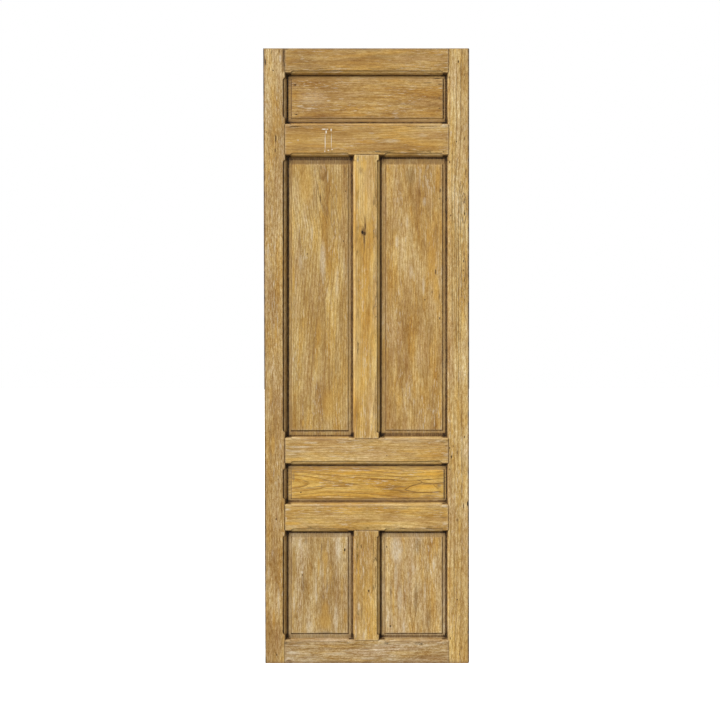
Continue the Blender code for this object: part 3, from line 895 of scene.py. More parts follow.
class Panel:
    """One raised panel: tongue, sloping margin, stepped field and flat back."""

    STEP = [(0.0, 0.0), (0.35, 0.45), (0.9, 1.8), (1.4, 2.35), (2.3, 2.5)]

    def __init__(self, name, upright):
        self.name = name
        self.upright = upright
        self.seed = seed_of(name)
        opening = OPENINGS[name]
        trims = {side: width * MM for side, width in FIELD_MARGINS[name].items()}
        along = (("bottom", opening.bottom), ("top", opening.top))
        across = (("left", opening.left), ("right", opening.right))
        if not upright:
            along, across = across, along
        self.u_sides = [(side, place, trims[side]) for side, place in along]
        self.v_sides = [(side, place, trims[side]) for side, place in across]

    def stations(self, sides, spacing):
        hard = []
        for (side, sight, trim), way in zip(sides, (1, -1)):
            hard += [sight - way * TONGUE, sight, sight + way * 1.5 * MM, sight + way * 3.5 * MM]
            hard += [sight + way * (trim + place * MM) for place, rise in self.STEP]
        return stations(hard, [], spacing)

    def build(self):
        rows = self.stations(self.u_sides, ROW_SPACING)
        columns = self.stations(self.v_sides, COLUMN_SPACING + 0.4 * MM)
        u, v = np.meshgrid(rows, columns, indexing="ij")
        near = []
        for grid, sides in ((u, self.u_sides), (v, self.v_sides)):
            for (side, sight, trim), way in zip(sides, (1, -1)):
                near.append((side, way * (grid - sight), trim))
        slope = np.ones(u.shape)
        step = np.ones(u.shape)
        places = np.array([place for place, rise in self.STEP]) * MM
        rises = np.array([rise for place, rise in self.STEP]) / self.STEP[-1][1]
        for side, distance, trim in near:
            slope = np.minimum(slope, np.clip(distance / trim, 0, 1))
            step = np.minimum(step, np.interp(distance - trim, places, rises))
        nearest = np.minimum.reduce([distance for side, distance, trim in near])
        count = u.size
        faces = grid_faces(np.arange(count).reshape(u.shape), self.upright)
        first, second = rim_edges(faces, count)
        walls = np.stack([second, first, count + first, count + second], 1)
        rough = 0.25 * (0.5 + 0.5 * layered_noise(u / 0.11, v / 0.03, self.seed + 9))
        back = PANEL_BACK_Y - rough * MM
        self.u = np.concatenate([u.ravel(), u.ravel()])
        self.v = np.concatenate([v.ravel(), v.ravel()])
        self.y = np.concatenate([self.front(u, v, nearest, step, slope).ravel(), back.ravel()])
        self.faces = np.concatenate([faces, faces[:, ::-1] + count, walls])
        soil, worn = self.wear(u, v, near, step)
        self.soil = np.concatenate([soil.ravel(), (0.5 * bell(nearest, 5 * MM)).ravel()])
        self.worn = np.concatenate([worn.ravel(), np.zeros(count)])

    def front(self, u, v, nearest, step, slope):
        """A margin that rises to a stepped field, which is slightly cupped and rippled."""
        wander = 0.18 * MM * layered_noise(u / 0.05, v / 0.05, self.seed + 1)
        cup = 0.35 * (0.5 + 0.5 * layered_noise(u / 0.22, v / 0.07, self.seed + 3))
        ripple = 0.09 * (0.5 + 0.5 * value_noise(u / 0.05, v / 0.010, self.seed + 5))
        front = MARGIN_Y - MARGIN_RISE * slope - FIELD_RISE * step
        front = front + (cup + ripple) * MM * step + wander * slope * (1 - step)
        return np.where(nearest < 0, MARGIN_Y, front)

    def wear(self, u, v, near, step):
        """Dirt and painted shadow in the margins, darkest at their feet and corners, and wear with a painted
        highlight along the step.
        """
        mottle = 0.5 + 0.5 * layered_noise(u / 0.03, v / 0.008, self.seed + 21)
        patches = 0.5 + 0.5 * layered_noise(u / 0.10, v / 0.10, self.seed + 25)
        foot = np.zeros(u.shape)
        lines = np.zeros(u.shape)
        painted_highlight = np.zeros(u.shape)
        lit_ridge_highlight = np.zeros(u.shape)
        for side, distance, trim in near:
            (centre, half, strength), line = MARGIN_SOIL_AND_SHADOW[self.name][side]
            offset = np.maximum(distance, 0) / MM - centre
            band = 1 - smooth_step(half - 0.6, half + 1.2, np.abs(offset))
            inward = 0.34 * strength * bell(offset, half + 3)
            grime_and_shade = np.maximum(strength * band, np.where(offset < 0, 0.55 * strength, inward))
            if side == "top":
                shelf = MARGIN_GRIME.get(self.name, 0.0) * smooth_step(trim, trim - 4 * MM, distance)
                grime_and_shade = np.maximum(grime_and_shade, shelf)
            foot = np.maximum(foot, grime_and_shade * (0.80 + 0.35 * patches))
            lines = np.maximum(lines, line * bell(distance - trim - 0.5 * MM, 1.2 * MM))
            # Painted highlight: a pale band beyond the step, strongest on the lit right and bottom sides, and
            # a pale ridge in their margins
            lit = side in ("right", "bottom")
            painted_highlight = np.maximum(painted_highlight, (0.45 if lit else 0.10) * bell(distance - trim - 3 * MM, 2.0 * MM))
            if lit:
                lit_ridge_highlight = np.maximum(lit_ridge_highlight, bell(distance - trim + 4.5 * MM, 2.0 * MM))
        ordered = np.sort(np.stack([distance for side, distance, trim in near]), axis=0)
        corner = bell(np.maximum(ordered[1], 0), 13 * MM) * (1 - step) * 0.38
        inner = np.minimum.reduce([distance - trim for side, distance, trim in near])
        lines = np.where(np.abs(inner) < 3 * MM, lines, 0.0)
        margin = (1 - step) * (0.14 + 0.20 * mottle)
        soil = np.maximum(margin, foot) + corner + lines * (0.45 + 0.40 * mottle + 0.35 * patches)
        worn = (painted_highlight * step + (0.06 + 0.50 * lit_ridge_highlight) * (1 - step)) * mottle
        return np.clip(soil, 0, 1), np.clip(worn, 0, 1)


# Where the fronts of the frame and of the panels lie, in mm from mid thickness
FRAME_FRONT = -20.0
PANEL_FRONT = -9.0


def front_of(name):
    return PANEL_FRONT if name.startswith("panel") else FRAME_FRONT


# The leaf's middle in the photo's pixels, and mm to a pixel
PHOTO_MIDDLE = (366.8, 355.6)
PHOTO_SCALE = 3.473


def photo_x(pixel):
    """The door's own x in mm at a pixel column of the photo."""
    return (pixel - PHOTO_MIDDLE[0]) * PHOTO_SCALE - LEAF_WIDTH / MM / 2


def photo_z(pixel):
    """The door's own z in mm at a pixel row of the photo."""
    return (PHOTO_MIDDLE[1] - pixel) * PHOTO_SCALE


# How each board was sawn: pith beside the board's middle and behind its face, its drift along
# the board, and the ring spacing, all in mm
SAWING = {
    "stile_left": ((60, 34), (18, 14), 7.5),
    "top_rail": ((12, 46), (20, 18), 7.0),
    "frieze_rail": ((-30, 38), (26, 16), 7.2),
    "lock_rail_upper": ((54, 26), (12, 10), 7.0),
    "lock_rail_lower": ((-48, 30), (10, 12), 7.5),
    "bottom_rail": ((40, 40), (14, 10), 7.0),
    "muntin_upper": ((36, 30), (14, 12), 7.0),
    "muntin_lower": ((-40, 26), (12, 8), 7.5),
    "panel_top": ((-16, 40), (24, 16), 7.5),
    "panel_upper_right": ((-50, 30), (20, 20), 8.0),
    "panel_lower_left": ((6, 34), (10, 22), 7.5),
    "panel_lower_right": ((-26, 30), (22, 20), 8.0),
}

# Boards whose figure shows in the photo: the line of the pith as (photo pixel along the grain,
# photo pixel across it, mm behind the board's surface), and the ring spacing in mm
DRAWN_PITH = {
    "panel_lock": (
        [(280, 483.5, 16), (293, 483.5, 21), (327, 483.5, 35), (366, 485.5, 37.6),
         (405.5, 489.5, 35), (441, 487.8, 32.1), (455, 487.8, 30)],
        9.4,
    ),
    "panel_upper_left": (
        [(150, 322, 22), (175, 323, 30), (205, 325, 38), (232, 329, 42), (300, 322, 46),
         (380, 318, 40), (440, 318, 34)],
        8.0,
    ),
    "stile_right": (
        [(40, 466, 26), (120, 466, 24), (180, 464.5, 21), (204, 464, 26), (226, 464.5, 21), (250, 464.5, 19),
         (275, 464, 25), (298, 464.5, 20), (360, 466, 22), (470, 467, 26), (600, 466, 24), (670, 464, 26)],
        10.4,
    ),
}

# Knots by board: place in the photo's pixels, and size in mm
KNOTS = {
    "muntin_upper": [(363.5, 232, 7)],
    "stile_left": [(276, 139, 3), (278.5, 52, 3)],
    "panel_top": [(295, 84, 3)],
}


def pith_line(piece, u):
    """Where the pith runs beside and behind a board, in mm, along its length."""
    seed = piece.seed
    if piece.name in DRAWN_PITH:
        line, spacing = DRAWN_PITH[piece.name]
        if piece.upright:
            places = [photo_z(along) for along, across, depth in line]
            beside = [photo_x(across) for along, across, depth in line]
        else:
            places = [photo_x(along) for along, across, depth in line]
            beside = [photo_z(across) for along, across, depth in line]
        order = np.argsort(places)
        places = np.array(places)[order]
        beside = np.interp(u, places, np.array(beside)[order])
        behind = np.interp(u, places, np.array([depth for along, across, depth in line])[order])
        return beside, behind + front_of(piece.name) - FRAME_FRONT, spacing
    (beside, behind), (drift_beside, drift_behind), spacing = SAWING[piece.name]
    v = piece.v / MM
    line = (v.max() + v.min()) / 2 + beside + drift_beside * value_noise(u / 420, 0.5, seed + 31)
    line = line + 2.0 * value_noise(u / 90, 4.5, seed + 33)
    return line, behind + drift_behind * value_noise(u / 350, 1.5, seed + 35), spacing


def growth_rings(piece):
    """Distance from the pith, counted in rings, at every point of a board."""
    u = piece.u / MM
    v = piece.v / MM
    depth = (piece.y - FACE_Y) / MM
    beside, behind, spacing = pith_line(piece, u)
    radius = np.hypot(v - beside, behind - depth)
    radius = radius + 1.3 * layered_noise(u / 130, v / 22, piece.seed + 37)
    for px, py, size in KNOTS.get(piece.name, []):
        along = u - (photo_z(py) if piece.upright else photo_x(px))
        across = v - (photo_x(px) if piece.upright else photo_z(py))
        distance = np.hypot(along / 3.0, across)
        radius = radius + 2.6 * size * bell(distance, 1.8 * size)
    return radius / spacing


def add_mesh(piece):
    if piece.upright:
        points = np.stack([piece.v, piece.y, piece.u], 1)
    else:
        points = np.stack([piece.u, piece.y, piece.v], 1)
    mesh = bpy.data.meshes.new(piece.name + "_wood")
    mesh.from_pydata(points.tolist(), [], piece.faces.tolist())
    mesh.polygons.foreach_set("use_smooth", [True] * len(mesh.polygons))
    mesh.set_sharp_from_angle(angle=math.radians(42))
    grain = np.stack([piece.u, piece.v, piece.y], 1) / MM
    layer = mesh.attributes.new("grain", "FLOAT_VECTOR", "POINT")
    layer.data.foreach_set("vector", grain.ravel().astype(np.float32))
    # soil is dirt with painted shade, worn is pale wear with painted highlight
    for name, values in (("ring", growth_rings(piece)), ("soil", piece.soil), ("worn", piece.worn)):
        layer = mesh.attributes.new(name, "FLOAT", "POINT")
        layer.data.foreach_set("value", values.astype(np.float32))
    obj = bpy.data.objects.new(piece.name + "_board", mesh)
    bpy.context.scene.collection.objects.link(obj)
    return obj


class Nodes:
    """Short names for making the nodes of one material."""

    def __init__(self, material):
        self.tree = material.node_tree
        self.tree.nodes.clear()

    def add(self, kind, **values):
        node = self.tree.nodes.new(kind)
        for name, value in values.items():
            setattr(node, name, value)
        return node

    def feed(self, socket, value):
        if isinstance(value, bpy.types.NodeSocket):
            self.tree.links.new(value, socket)
        else:
            socket.default_value = value

    def attribute(self, name):
        return self.add("ShaderNodeAttribute", attribute_name=name)

    def math(self, operation, first, second=0.0, third=0.0, clamp=False):
        node = self.add("ShaderNodeMath", operation=operation, use_clamp=clamp)
        self.feed(node.inputs[0], first)
        self.feed(node.inputs[1], second)
        self.feed(node.inputs[2], third)
        return node.outputs[0]

    def vector(self, operation, first, second=(0.0, 0.0, 0.0)):
        node = self.add("ShaderNodeVectorMath", operation=operation)
        self.feed(node.inputs[0], first)
        self.feed(node.inputs[1], second)
        return node.outputs["Value"] if operation in ("LENGTH", "DOT_PRODUCT") else node.outputs["Vector"]

    def noise(self, place, sizes, detail=2.0, roughness=0.5, shift=0.0):
        """Noise whose features have these sizes in mm along, across and into the wood."""
        scaled = self.vector("MULTIPLY", place, tuple(1.0 / size for size in sizes))
        moved = self.vector("ADD", scaled, (shift, 2.3 * shift, 0.7 * shift))
        node = self.add("ShaderNodeTexNoise", noise_dimensions="3D")
        self.feed(node.inputs["Vector"], moved)
        node.inputs["Scale"].default_value = 1.0
        node.inputs["Detail"].default_value = detail
        node.inputs["Roughness"].default_value = roughness
        return node.outputs["Fac"]

    def remap(self, value, low, high, to_low=0.0, to_high=1.0, smooth=True):
        node = self.add("ShaderNodeMapRange", interpolation_type="SMOOTHSTEP" if smooth else "LINEAR")
        self.feed(node.inputs["Value"], value)
        node.inputs["From Min"].default_value = low
        node.inputs["From Max"].default_value = high
        node.inputs["To Min"].default_value = to_low
        node.inputs["To Max"].default_value = to_high
        return node.outputs["Result"]

    def mix(self, share, first, second, blend="MIX"):
        node = self.add("ShaderNodeMix", data_type="RGBA", blend_type=blend)
        self.feed(node.inputs["Factor"], share)
        for socket, value in ((node.inputs[6], first), (node.inputs[7], second)):
            self.feed(socket, value if isinstance(value, bpy.types.NodeSocket) else (*value, 1.0))
        return node.outputs[2]


# Mean colour of each board
WOOD = {
    "stile_left": (0.501, 0.327, 0.122),
    "stile_right": (0.580, 0.394, 0.149),
    "top_rail": (0.479, 0.294, 0.093),
    "frieze_rail": (0.526, 0.326, 0.101),
    "lock_rail_upper": (0.574, 0.373, 0.130),
    "lock_rail_lower": (0.547, 0.342, 0.100),
    "bottom_rail": (0.476, 0.324, 0.145),
    "muntin_upper": (0.617, 0.401, 0.128),
    "muntin_lower": (0.518, 0.322, 0.097),
    "panel_top": (0.434, 0.253, 0.072),
    "panel_upper_left": (0.511, 0.334, 0.113),
    "panel_upper_right": (0.501, 0.314, 0.103),
    "panel_lock": (0.605, 0.360, 0.076),
    "panel_lower_left": (0.491, 0.333, 0.137),
    "panel_lower_right": (0.517, 0.341, 0.133),
}

# Tints of one board's wood, as shares of its mean colour
TINTS = {
    "dark": (0.66, 0.58, 0.46),
    "light": (1.24, 1.32, 1.50),
    "late": (0.70, 0.56, 0.36),
    "gold": (1.06, 0.94, 0.62),
    "grey": (0.97, 0.94, 1.06),
}

# Colours of what lies on the wood; lime also paints highlights, and dust, brown and near black also paint
# shade and shadow
LIME_AND_HIGHLIGHT = (0.74, 0.62, 0.43)
PAINT = (0.86, 0.80, 0.66)
DUST = (0.28, 0.165, 0.058)
PALE_DUST = (0.29, 0.196, 0.098)
BROWN = (0.130, 0.066, 0.022)
DIRT_AND_SHADOW = (0.022, 0.011, 0.003)

# How clearly the growth rings show, and how dark their lines are
FIGURE = {"panel_lock": (0.9, 0.60), "stile_right": (0.75, 0.42), "panel_upper_left": (0.7, 0.36)}
PLAIN_FIGURE = (0.5, 0.20)

# How weathered each board is: the strength of its fine specks and fibres
WEATHERING = {
    "stile_left": 1.30,
    "stile_right": 1.18,
    "top_rail": 0.80,
    "frieze_rail": 0.62,
    "lock_rail_upper": 0.78,
    "lock_rail_lower": 0.78,
    "bottom_rail": 1.35,
    "muntin_upper": 0.56,
    "muntin_lower": 0.92,
    "panel_top": 0.90,
    "panel_upper_left": 0.96,
    "panel_upper_right": 0.96,
    "panel_lock": 0.64,
    "panel_lower_left": 1.16,
    "panel_lower_right": 1.15,
}

# Marks by board and kind: the pixel of the photo they are centred on, their half length along
# the grain and half width across it in mm, and how strong they are
MARKS = {
    "stile_left": {
        "brown": [
            (282, 139, 36, 9, 0.2), (281.5, 508, 40, 2.5, 0.4),
        ],
        "gold": [
            (273.3, 444, 45, 8, 0.9), (274, 618.6, 45, 6, 0.9), (273, 95, 40, 5, 0.7),
            (276, 330, 60, 5, 0.8), (271, 395, 40, 6, 0.7),
        ],
        "lime": [
            (280.6, 58.5, 17, 5, 0.95), (265.8, 108, 22, 2, 0.6), (266.5, 122.6, 26, 2, 0.5),
            (279.1, 141.8, 8, 2.5, 0.8), (271.4, 79.8, 18, 3, 0.55), (284, 200.4, 5, 1.8, 0.8),
            (272, 212.5, 32, 4, 0.5), (268.4, 250, 28, 5, 0.6), (280.9, 241, 16, 2.5, 0.5),
            (280.7, 446, 16, 4.5, 0.7), (276.6, 520.8, 5, 2.6, 0.9), (278.9, 601, 55, 6, 0.65),
            (268.9, 571.7, 22, 4, 0.5), (272.7, 552.5, 14, 4, 0.45),
        ],
        "soil": [
            (271.4, 52.5, 10, 1.3, 0.8), (279.5, 51.5, 8, 2, 0.6), (265.6, 62.5, 14, 2.6, 0.95),
            (273.4, 70.6, 3, 2.4, 1), (277.2, 100.4, 3, 2, 0.5), (276, 138.7, 20, 3, 0.8),
            (275.5, 150.5, 10, 2, 0.7), (266.5, 132.2, 3, 2.4, 1), (269.5, 154, 10, 2, 0.6),
            (276, 159, 11, 1.6, 0.6), (277, 447.6, 7, 2, 0.5), (276.4, 518.6, 4, 2.6, 0.9),
            (278.5, 479.2, 4, 3, 0.45), (277, 654, 6, 2, 0.9), (269.4, 660.5, 4, 4, 0.5),
            (281.5, 466, 14, 2.5, 0.4),
        ],
    },
    "stile_right": {
        "brown": [
            (462.1, 130.3, 8, 3, 0.45),
        ],
        "gold": [
            (466, 255, 60, 4, 0.8), (458, 410, 50, 5, 0.6), (459.5, 528, 40, 4, 0.7),
        ],
        "lime": [
            (450.9, 133.7, 14, 3.5, 0.9), (463, 207, 30, 5, 0.5), (452.4, 452.5, 9, 2.5, 0.6),
            (462, 438.8, 12, 5, 0.55),
        ],
        "soil": [
            (458.3, 61.8, 6, 2.2, 1), (462.5, 51.5, 16, 1.4, 0.6), (456.4, 141.8, 3, 2.4, 1),
            (464.4, 138.7, 9, 1.8, 0.7), (449.5, 77.5, 5, 2.4, 0.5), (464.4, 75, 7, 1.6, 0.6),
            (462.9, 109, 22, 1.4, 0.5), (464, 202, 7, 2.2, 0.8), (464.5, 213.3, 9, 2.2, 0.85),
            (463.5, 261, 6, 2.2, 0.8), (463.5, 270.4, 5, 2, 0.7), (464.5, 280, 8, 1.8, 0.75),
            (464, 289.8, 3, 2.2, 0.9), (450.7, 215.3, 5, 3.6, 0.6), (449.7, 162, 5, 3, 0.7),
            (465.5, 172, 16, 2.5, 0.5), (464.5, 436.6, 5, 2.8, 0.8), (457.2, 452, 9, 1.8, 0.7),
            (451.3, 456.4, 8, 2.6, 0.95), (449.6, 447.6, 5, 2.4, 0.8), (453.2, 445.8, 4, 2.8, 0.6),
            (467.6, 503.4, 11, 3.2, 1), (463.5, 505.6, 13, 2.6, 0.7), (457.2, 519.5, 6, 5, 0.5),
            (449.6, 468.9, 5, 2.6, 0.5), (457.1, 599, 3, 2.8, 1), (468.2, 631.6, 9, 3, 1),
            (459.5, 653.5, 6, 2.4, 0.6), (450.4, 637.7, 6, 2.4, 0.6), (461.4, 647.3, 9, 2, 0.5),
        ],
    },
    "top_rail": {
        "brown": [
            (300, 60, 90, 44, 0.17), (379, 56.4, 70, 9, 0.32),
        ],
        "gold": [
            (347, 56, 50, 5, 0.5),
        ],
        "lime": [
            (317, 51.5, 36, 2.4, 0.75), (343, 69, 36, 2.6, 0.75), (307.8, 69.8, 26, 2.2, 0.65),
            (409.7, 65.2, 24, 5, 0.35), (342, 55, 20, 2, 0.35),
        ],
        "soil": [
            (353.7, 66, 32, 5, 0.25), (444, 63.7, 32, 1.8, 0.4), (286.5, 49.5, 12, 2, 0.6),
        ],
    },
    "frieze_rail": {
        "brown": [
            (299, 139, 60, 44, 0.16), (300, 137, 50, 3, 0.25),
        ],
        "gold": [
            (318, 146, 80, 6, 0.7), (366, 142, 50, 8, 0.8), (299, 139, 60, 30, 0.7),
        ],
        "lime": [
            (298.2, 140.2, 4, 3.4, 0.9), (290.2, 142.5, 11, 3, 0.45), (310, 128, 13, 2.4, 0.9),
            (390.6, 141, 38, 8, 0.45), (422.7, 135.6, 22, 6, 0.4), (444.2, 125.9, 16, 8, 0.9),
            (369.2, 127.2, 42, 2.4, 0.55), (371.5, 133.3, 16, 2.6, 0.5),
        ],
        "paint": [
            (324, 129.3, 9, 2.6, 0.9), (326.3, 132, 2.5, 7, 1), (325.3, 142, 1.5, 34, 0.9),
            (331.3, 130, 3, 6, 0.9), (327.5, 129.4, 4, 2.4, 0.75), (331.5, 141, 1.1, 32, 0.8),
            (328.5, 150.4, 3, 2.6, 0.9), (332.3, 149.6, 3, 2.2, 0.9), (325, 151.3, 2.6, 3.4, 0.7),
        ],
        "soil": [
            (296, 126.4, 20, 1.5, 0.85), (409, 126.5, 14, 2, 0.5), (446.8, 139, 5, 9, 0.35),
        ],
    },
    "panel_top": {
        "brown": [
            (405.9, 103.5, 42, 6, 0.35), (371, 115.5, 34, 4, 0.4), (379, 97, 60, 3, 0.25),
        ],
        "gold": [
            (293.6, 95, 13, 9, 0.9), (360, 114.2, 60, 5, 0.95), (420, 112, 50, 6, 0.6),
        ],
        "lime": [
            (313, 97, 62, 30, 0.36), (310, 92.4, 14, 1.8, 0.9), (307.8, 96.6, 22, 2.2, 0.9),
            (328.5, 100.1, 8, 3.2, 1), (326, 97, 24, 2.6, 0.6), (310, 100.8, 42, 2.6, 0.65),
            (300.1, 105.4, 14, 3.2, 0.95), (310, 107.7, 24, 3.2, 0.9), (341.5, 98, 12, 2.6, 0.5),
            (331.5, 90.5, 42, 2.2, 0.4), (396.7, 117.3, 11, 2.6, 0.95), (424.3, 95.5, 9, 2.6, 0.5),
            (345, 82, 45, 2.4, 0.4),
        ],
        "soil": [
            (295.2, 84.2, 5, 4, 0.85), (333, 84, 3, 2, 0.5), (296.3, 113.8, 6, 2.4, 0.9),
            (307.8, 115.4, 24, 5, 0.25), (346.8, 104.3, 32, 2.6, 0.3), (439.6, 97.4, 4, 7, 0.5),
            (439.6, 107.7, 4, 2.6, 0.7), (428, 82, 22, 1.8, 0.7), (440, 83.5, 11, 1.6, 0.9),
            (437.3, 77.5, 22, 2, 0.9),
        ],
    },
    "panel_upper_left": {
        "brown": [
            (302, 260, 70, 18, 0.14), (296, 368, 90, 16, 0.16),
        ],
        "gold": [
            (293.4, 277.7, 70, 5, 0.95), (330, 270.5, 55, 6, 0.8), (329.6, 212.5, 65, 6, 0.8),
            (306, 185, 90, 30, 0.7), (340, 205, 70, 8, 0.6), (303, 423, 16, 5, 1), (328, 405, 70, 24, 0.8),
            (319, 330, 60, 10, 0.6),
        ],
        "lime": [
            (307.2, 257, 6, 2.2, 1), (312, 233, 38, 4, 0.55), (327.8, 176, 24, 3.2, 0.6),
            (322.9, 259.8, 75, 12, 0.72), (300.5, 261.6, 32, 8, 0.45), (296, 284, 44, 3, 0.6),
            (337, 282, 65, 8, 0.5), (344, 265, 60, 3, 0.5), (303, 410, 24, 1.6, 0.9),
        ],
        "soil": [
            (307.2, 253.6, 3, 2.2, 1), (345.6, 190.6, 4, 2.2, 0.8), (343.4, 240.6, 4, 2, 0.9),
            (320.6, 198, 24, 1.6, 0.8), (324.2, 189, 14, 1.6, 0.6), (331.2, 210, 70, 1.6, 0.5),
            (316.6, 194.6, 55, 1.3, 0.5), (313.9, 194.6, 42, 1.2, 0.4), (321, 167, 14, 2.2, 0.6),
            (345, 170.5, 22, 3, 0.5), (299.6, 237.5, 42, 5, 0.35),
        ],
    },
    "panel_upper_right": {
        "brown": [
            (411, 174.5, 40, 22, 0.4),
        ],
        "gold": [
            (432.5, 260.2, 105, 20, 1), (428.8, 237.8, 24, 9, 0.9), (435.9, 288, 60, 13, 1),
            (433.9, 225.5, 18, 5, 0.9), (441, 227, 36, 4, 0.8), (438, 177, 55, 12, 0.9),
        ],
        "lime": [
            (415.5, 170.4, 14, 3.2, 0.9), (424.7, 201, 18, 7, 0.6), (420, 175.5, 44, 5, 0.4),
            (405.8, 238.8, 12, 2.2, 0.95), (397.1, 241.8, 30, 8, 0.6), (407.3, 221.4, 30, 6, 0.5),
            (414.5, 276.5, 18, 3, 0.9), (423.7, 285.7, 38, 5, 0.7), (411.4, 271.4, 28, 9, 0.45),
        ],
        "soil": [
            (440.5, 189.8, 9, 2.4, 0.8), (439.5, 198, 5, 1.8, 0.6), (435.9, 271.4, 13, 1.8, 1),
            (432.3, 291.8, 5, 2.6, 0.6), (425.2, 299.5, 3, 2.6, 1), (439.5, 296, 14, 2.8, 0.5),
            (385.9, 204, 24, 2, 0.7), (440, 318, 6, 2.4, 0.9),
        ],
    },
    "muntin_upper": {
        "brown": [
            (365.2, 221, 26, 3.2, 0.6), (364.4, 247, 26, 3.2, 0.5),
        ],
        "gold": [
            (372, 235, 60, 8, 0.8), (365, 165, 26, 8, 0.7), (366, 200, 60, 7, 0.6), (372, 250, 60, 5, 0.6),
        ],
        "lime": [
            (357.9, 159.7, 12, 3.2, 0.95), (366, 158, 9, 2.4, 0.8), (354.3, 185, 90, 3.2, 0.6),
            (362, 158.5, 12, 2, 0.8),
        ],
        "soil": [
            (363.7, 232, 24, 12.5, 0.54), (362.6, 232.2, 9, 6, 1), (365.4, 226.5, 20, 4.2, 0.62),
            (364.4, 239.5, 26, 4.6, 0.56), (364.6, 233.5, 11, 7, 0.8), (360.9, 170.4, 16, 8, 0.28),
        ],
    },
    "panel_lock": {
        "brown": [
            (441, 483, 22, 50, 0.2),
        ],
        "gold": [
            (430, 474, 50, 7, 1), (425, 487, 50, 9, 0.9), (345, 473.5, 60, 5, 1),
        ],
        "lime": [
            (352, 470.6, 90, 3, 0.55), (330, 497, 70, 3, 0.5),
        ],
        "soil": [
            (300.9, 492.4, 3.2, 2.6, 1), (338.6, 495.3, 3, 2.2, 0.5), (293.4, 477, 6, 20, 0.35),
            (299, 471.8, 36, 4, 0.25), (411.4, 471.8, 60, 3.4, 0.25), (439.4, 485.8, 9, 8, 0.35),
            (428.6, 479.3, 18, 1.6, 0.8), (320, 486.5, 26, 2.4, 0.4), (325, 480.4, 16, 2.4, 0.35),
            (311, 487.8, 20, 3.4, 0.3), (430, 496, 30, 2.5, 0.35),
        ],
    },
    "lock_rail_upper": {
        "brown": [
            (293, 449, 32, 42, 0.2), (330, 447.5, 60, 2.5, 0.25),
        ],
        "gold": [
            (293, 459, 40, 5, 0.9), (430, 455, 60, 9, 0.8),
        ],
        "lime": [
            (300, 446.5, 45, 4, 0.85), (311, 442.5, 30, 4, 0.7), (287.5, 449.6, 12, 2.6, 0.9),
            (297, 451, 50, 5, 0.6), (334, 456, 26, 2.8, 0.75), (292, 454, 20, 2.4, 0.6),
            (388, 438.9, 18, 3.6, 0.9), (410, 438.5, 40, 3, 0.6), (440, 440, 18, 3, 0.6),
            (345, 438.5, 40, 3, 0.6), (429.2, 442.6, 4, 2.6, 0.9),
        ],
        "soil": [
            (446.2, 445.5, 8, 2.4, 0.6), (386.8, 455.2, 3, 2.4, 0.6),
        ],
    },
    "lock_rail_lower": {
        "brown": [
            (441, 513, 20, 3, 0.3), (312, 517.5, 30, 3, 0.25),
        ],
        "gold": [
            (292, 523, 40, 7, 1), (375, 523, 90, 5, 0.8),
        ],
        "lime": [
            (315, 504.4, 40, 3, 1), (325, 506.5, 40, 2.6, 0.8), (288, 509, 14, 5, 0.9),
            (286, 518, 5, 7, 0.8), (444.5, 505.5, 18, 6, 0.95), (435, 504.5, 30, 3, 0.7),
            (380, 504.5, 60, 3, 0.5), (445, 523, 14, 8, 0.6), (420, 516.6, 6, 2, 0.8),
        ],
        "soil": [
            (443, 517, 14, 3, 0.4),
        ],
    },
    "bottom_rail": {
        "brown": [
            (292, 650, 30, 42, 0.15), (320, 658.5, 150, 11, 0.16), (395, 658.5, 150, 11, 0.16),
            (305, 648, 50, 3, 0.4), (315, 654, 30, 3, 0.35),
        ],
        "gold": [
            (400, 652, 60, 6, 0.5),
        ],
        "lime": [
            (293, 652, 26, 7, 0.95), (300, 645, 40, 3.2, 0.7), (335, 653, 50, 6, 0.6),
            (392, 640.5, 22, 3, 0.9), (405, 643.8, 60, 2.6, 0.7), (390, 658.5, 10, 3.4, 1),
            (368, 658, 40, 4, 0.6), (440, 642, 26, 3, 0.7), (320, 640.5, 80, 3, 0.6),
        ],
        "soil": [
            (289, 660, 14, 3.4, 0.6), (330, 660.5, 60, 2, 0.5), (443, 655, 18, 3, 0.4),
            (366, 648.5, 22, 2.4, 0.5),
        ],
    },
    "muntin_lower": {
        "brown": [
            (361.5, 612, 30, 4, 0.4),
        ],
        "gold": [
            (358.5, 570, 90, 5, 0.8), (371, 575, 70, 5, 0.7),
        ],
        "lime": [
            (357, 533, 8, 3, 0.8), (366, 534, 10, 3, 0.7), (359, 606, 20, 6, 0.7), (356, 628, 40, 5, 0.7),
            (364, 635, 16, 5, 0.7), (355, 545, 50, 2.6, 0.6), (366.5, 530.5, 3, 8, 0.5),
        ],
        "soil": [
            (361.3, 546, 10, 2, 0.8), (368.9, 590.2, 6, 3, 0.9),
        ],
    },
    "panel_lower_left": {
        "brown": [
            (294.2, 562, 80, 9, 0.3), (306, 540, 22, 6, 0.4), (303, 585, 40, 7, 0.35),
        ],
        "gold": [
            (325.2, 621, 38, 28, 1), (325.2, 611, 42, 15, 1), (325.2, 559, 42, 12, 1),
            (318.8, 565.5, 34, 5, 1), (325.2, 572, 60, 6, 0.95), (294.2, 562, 70, 6.5, 0.95),
            (345.5, 618, 26, 8, 0.9), (342, 590, 50, 4, 0.8), (331, 572, 40, 3, 0.8),
        ],
        "lime": [
            (302, 572.5, 6, 6, 1), (338, 548, 50, 10, 0.8), (300, 543, 30, 6, 0.6), (316, 590, 60, 4, 0.7),
            (336, 618, 60, 8, 0.7), (310, 628, 30, 14, 0.6), (294, 603, 40, 5, 0.6),
            (328, 546, 30, 2.4, 0.9),
        ],
        "soil": [
            (302.5, 575.3, 3, 2.6, 1), (344.8, 550, 7, 3, 1), (344, 560, 12, 2, 0.5),
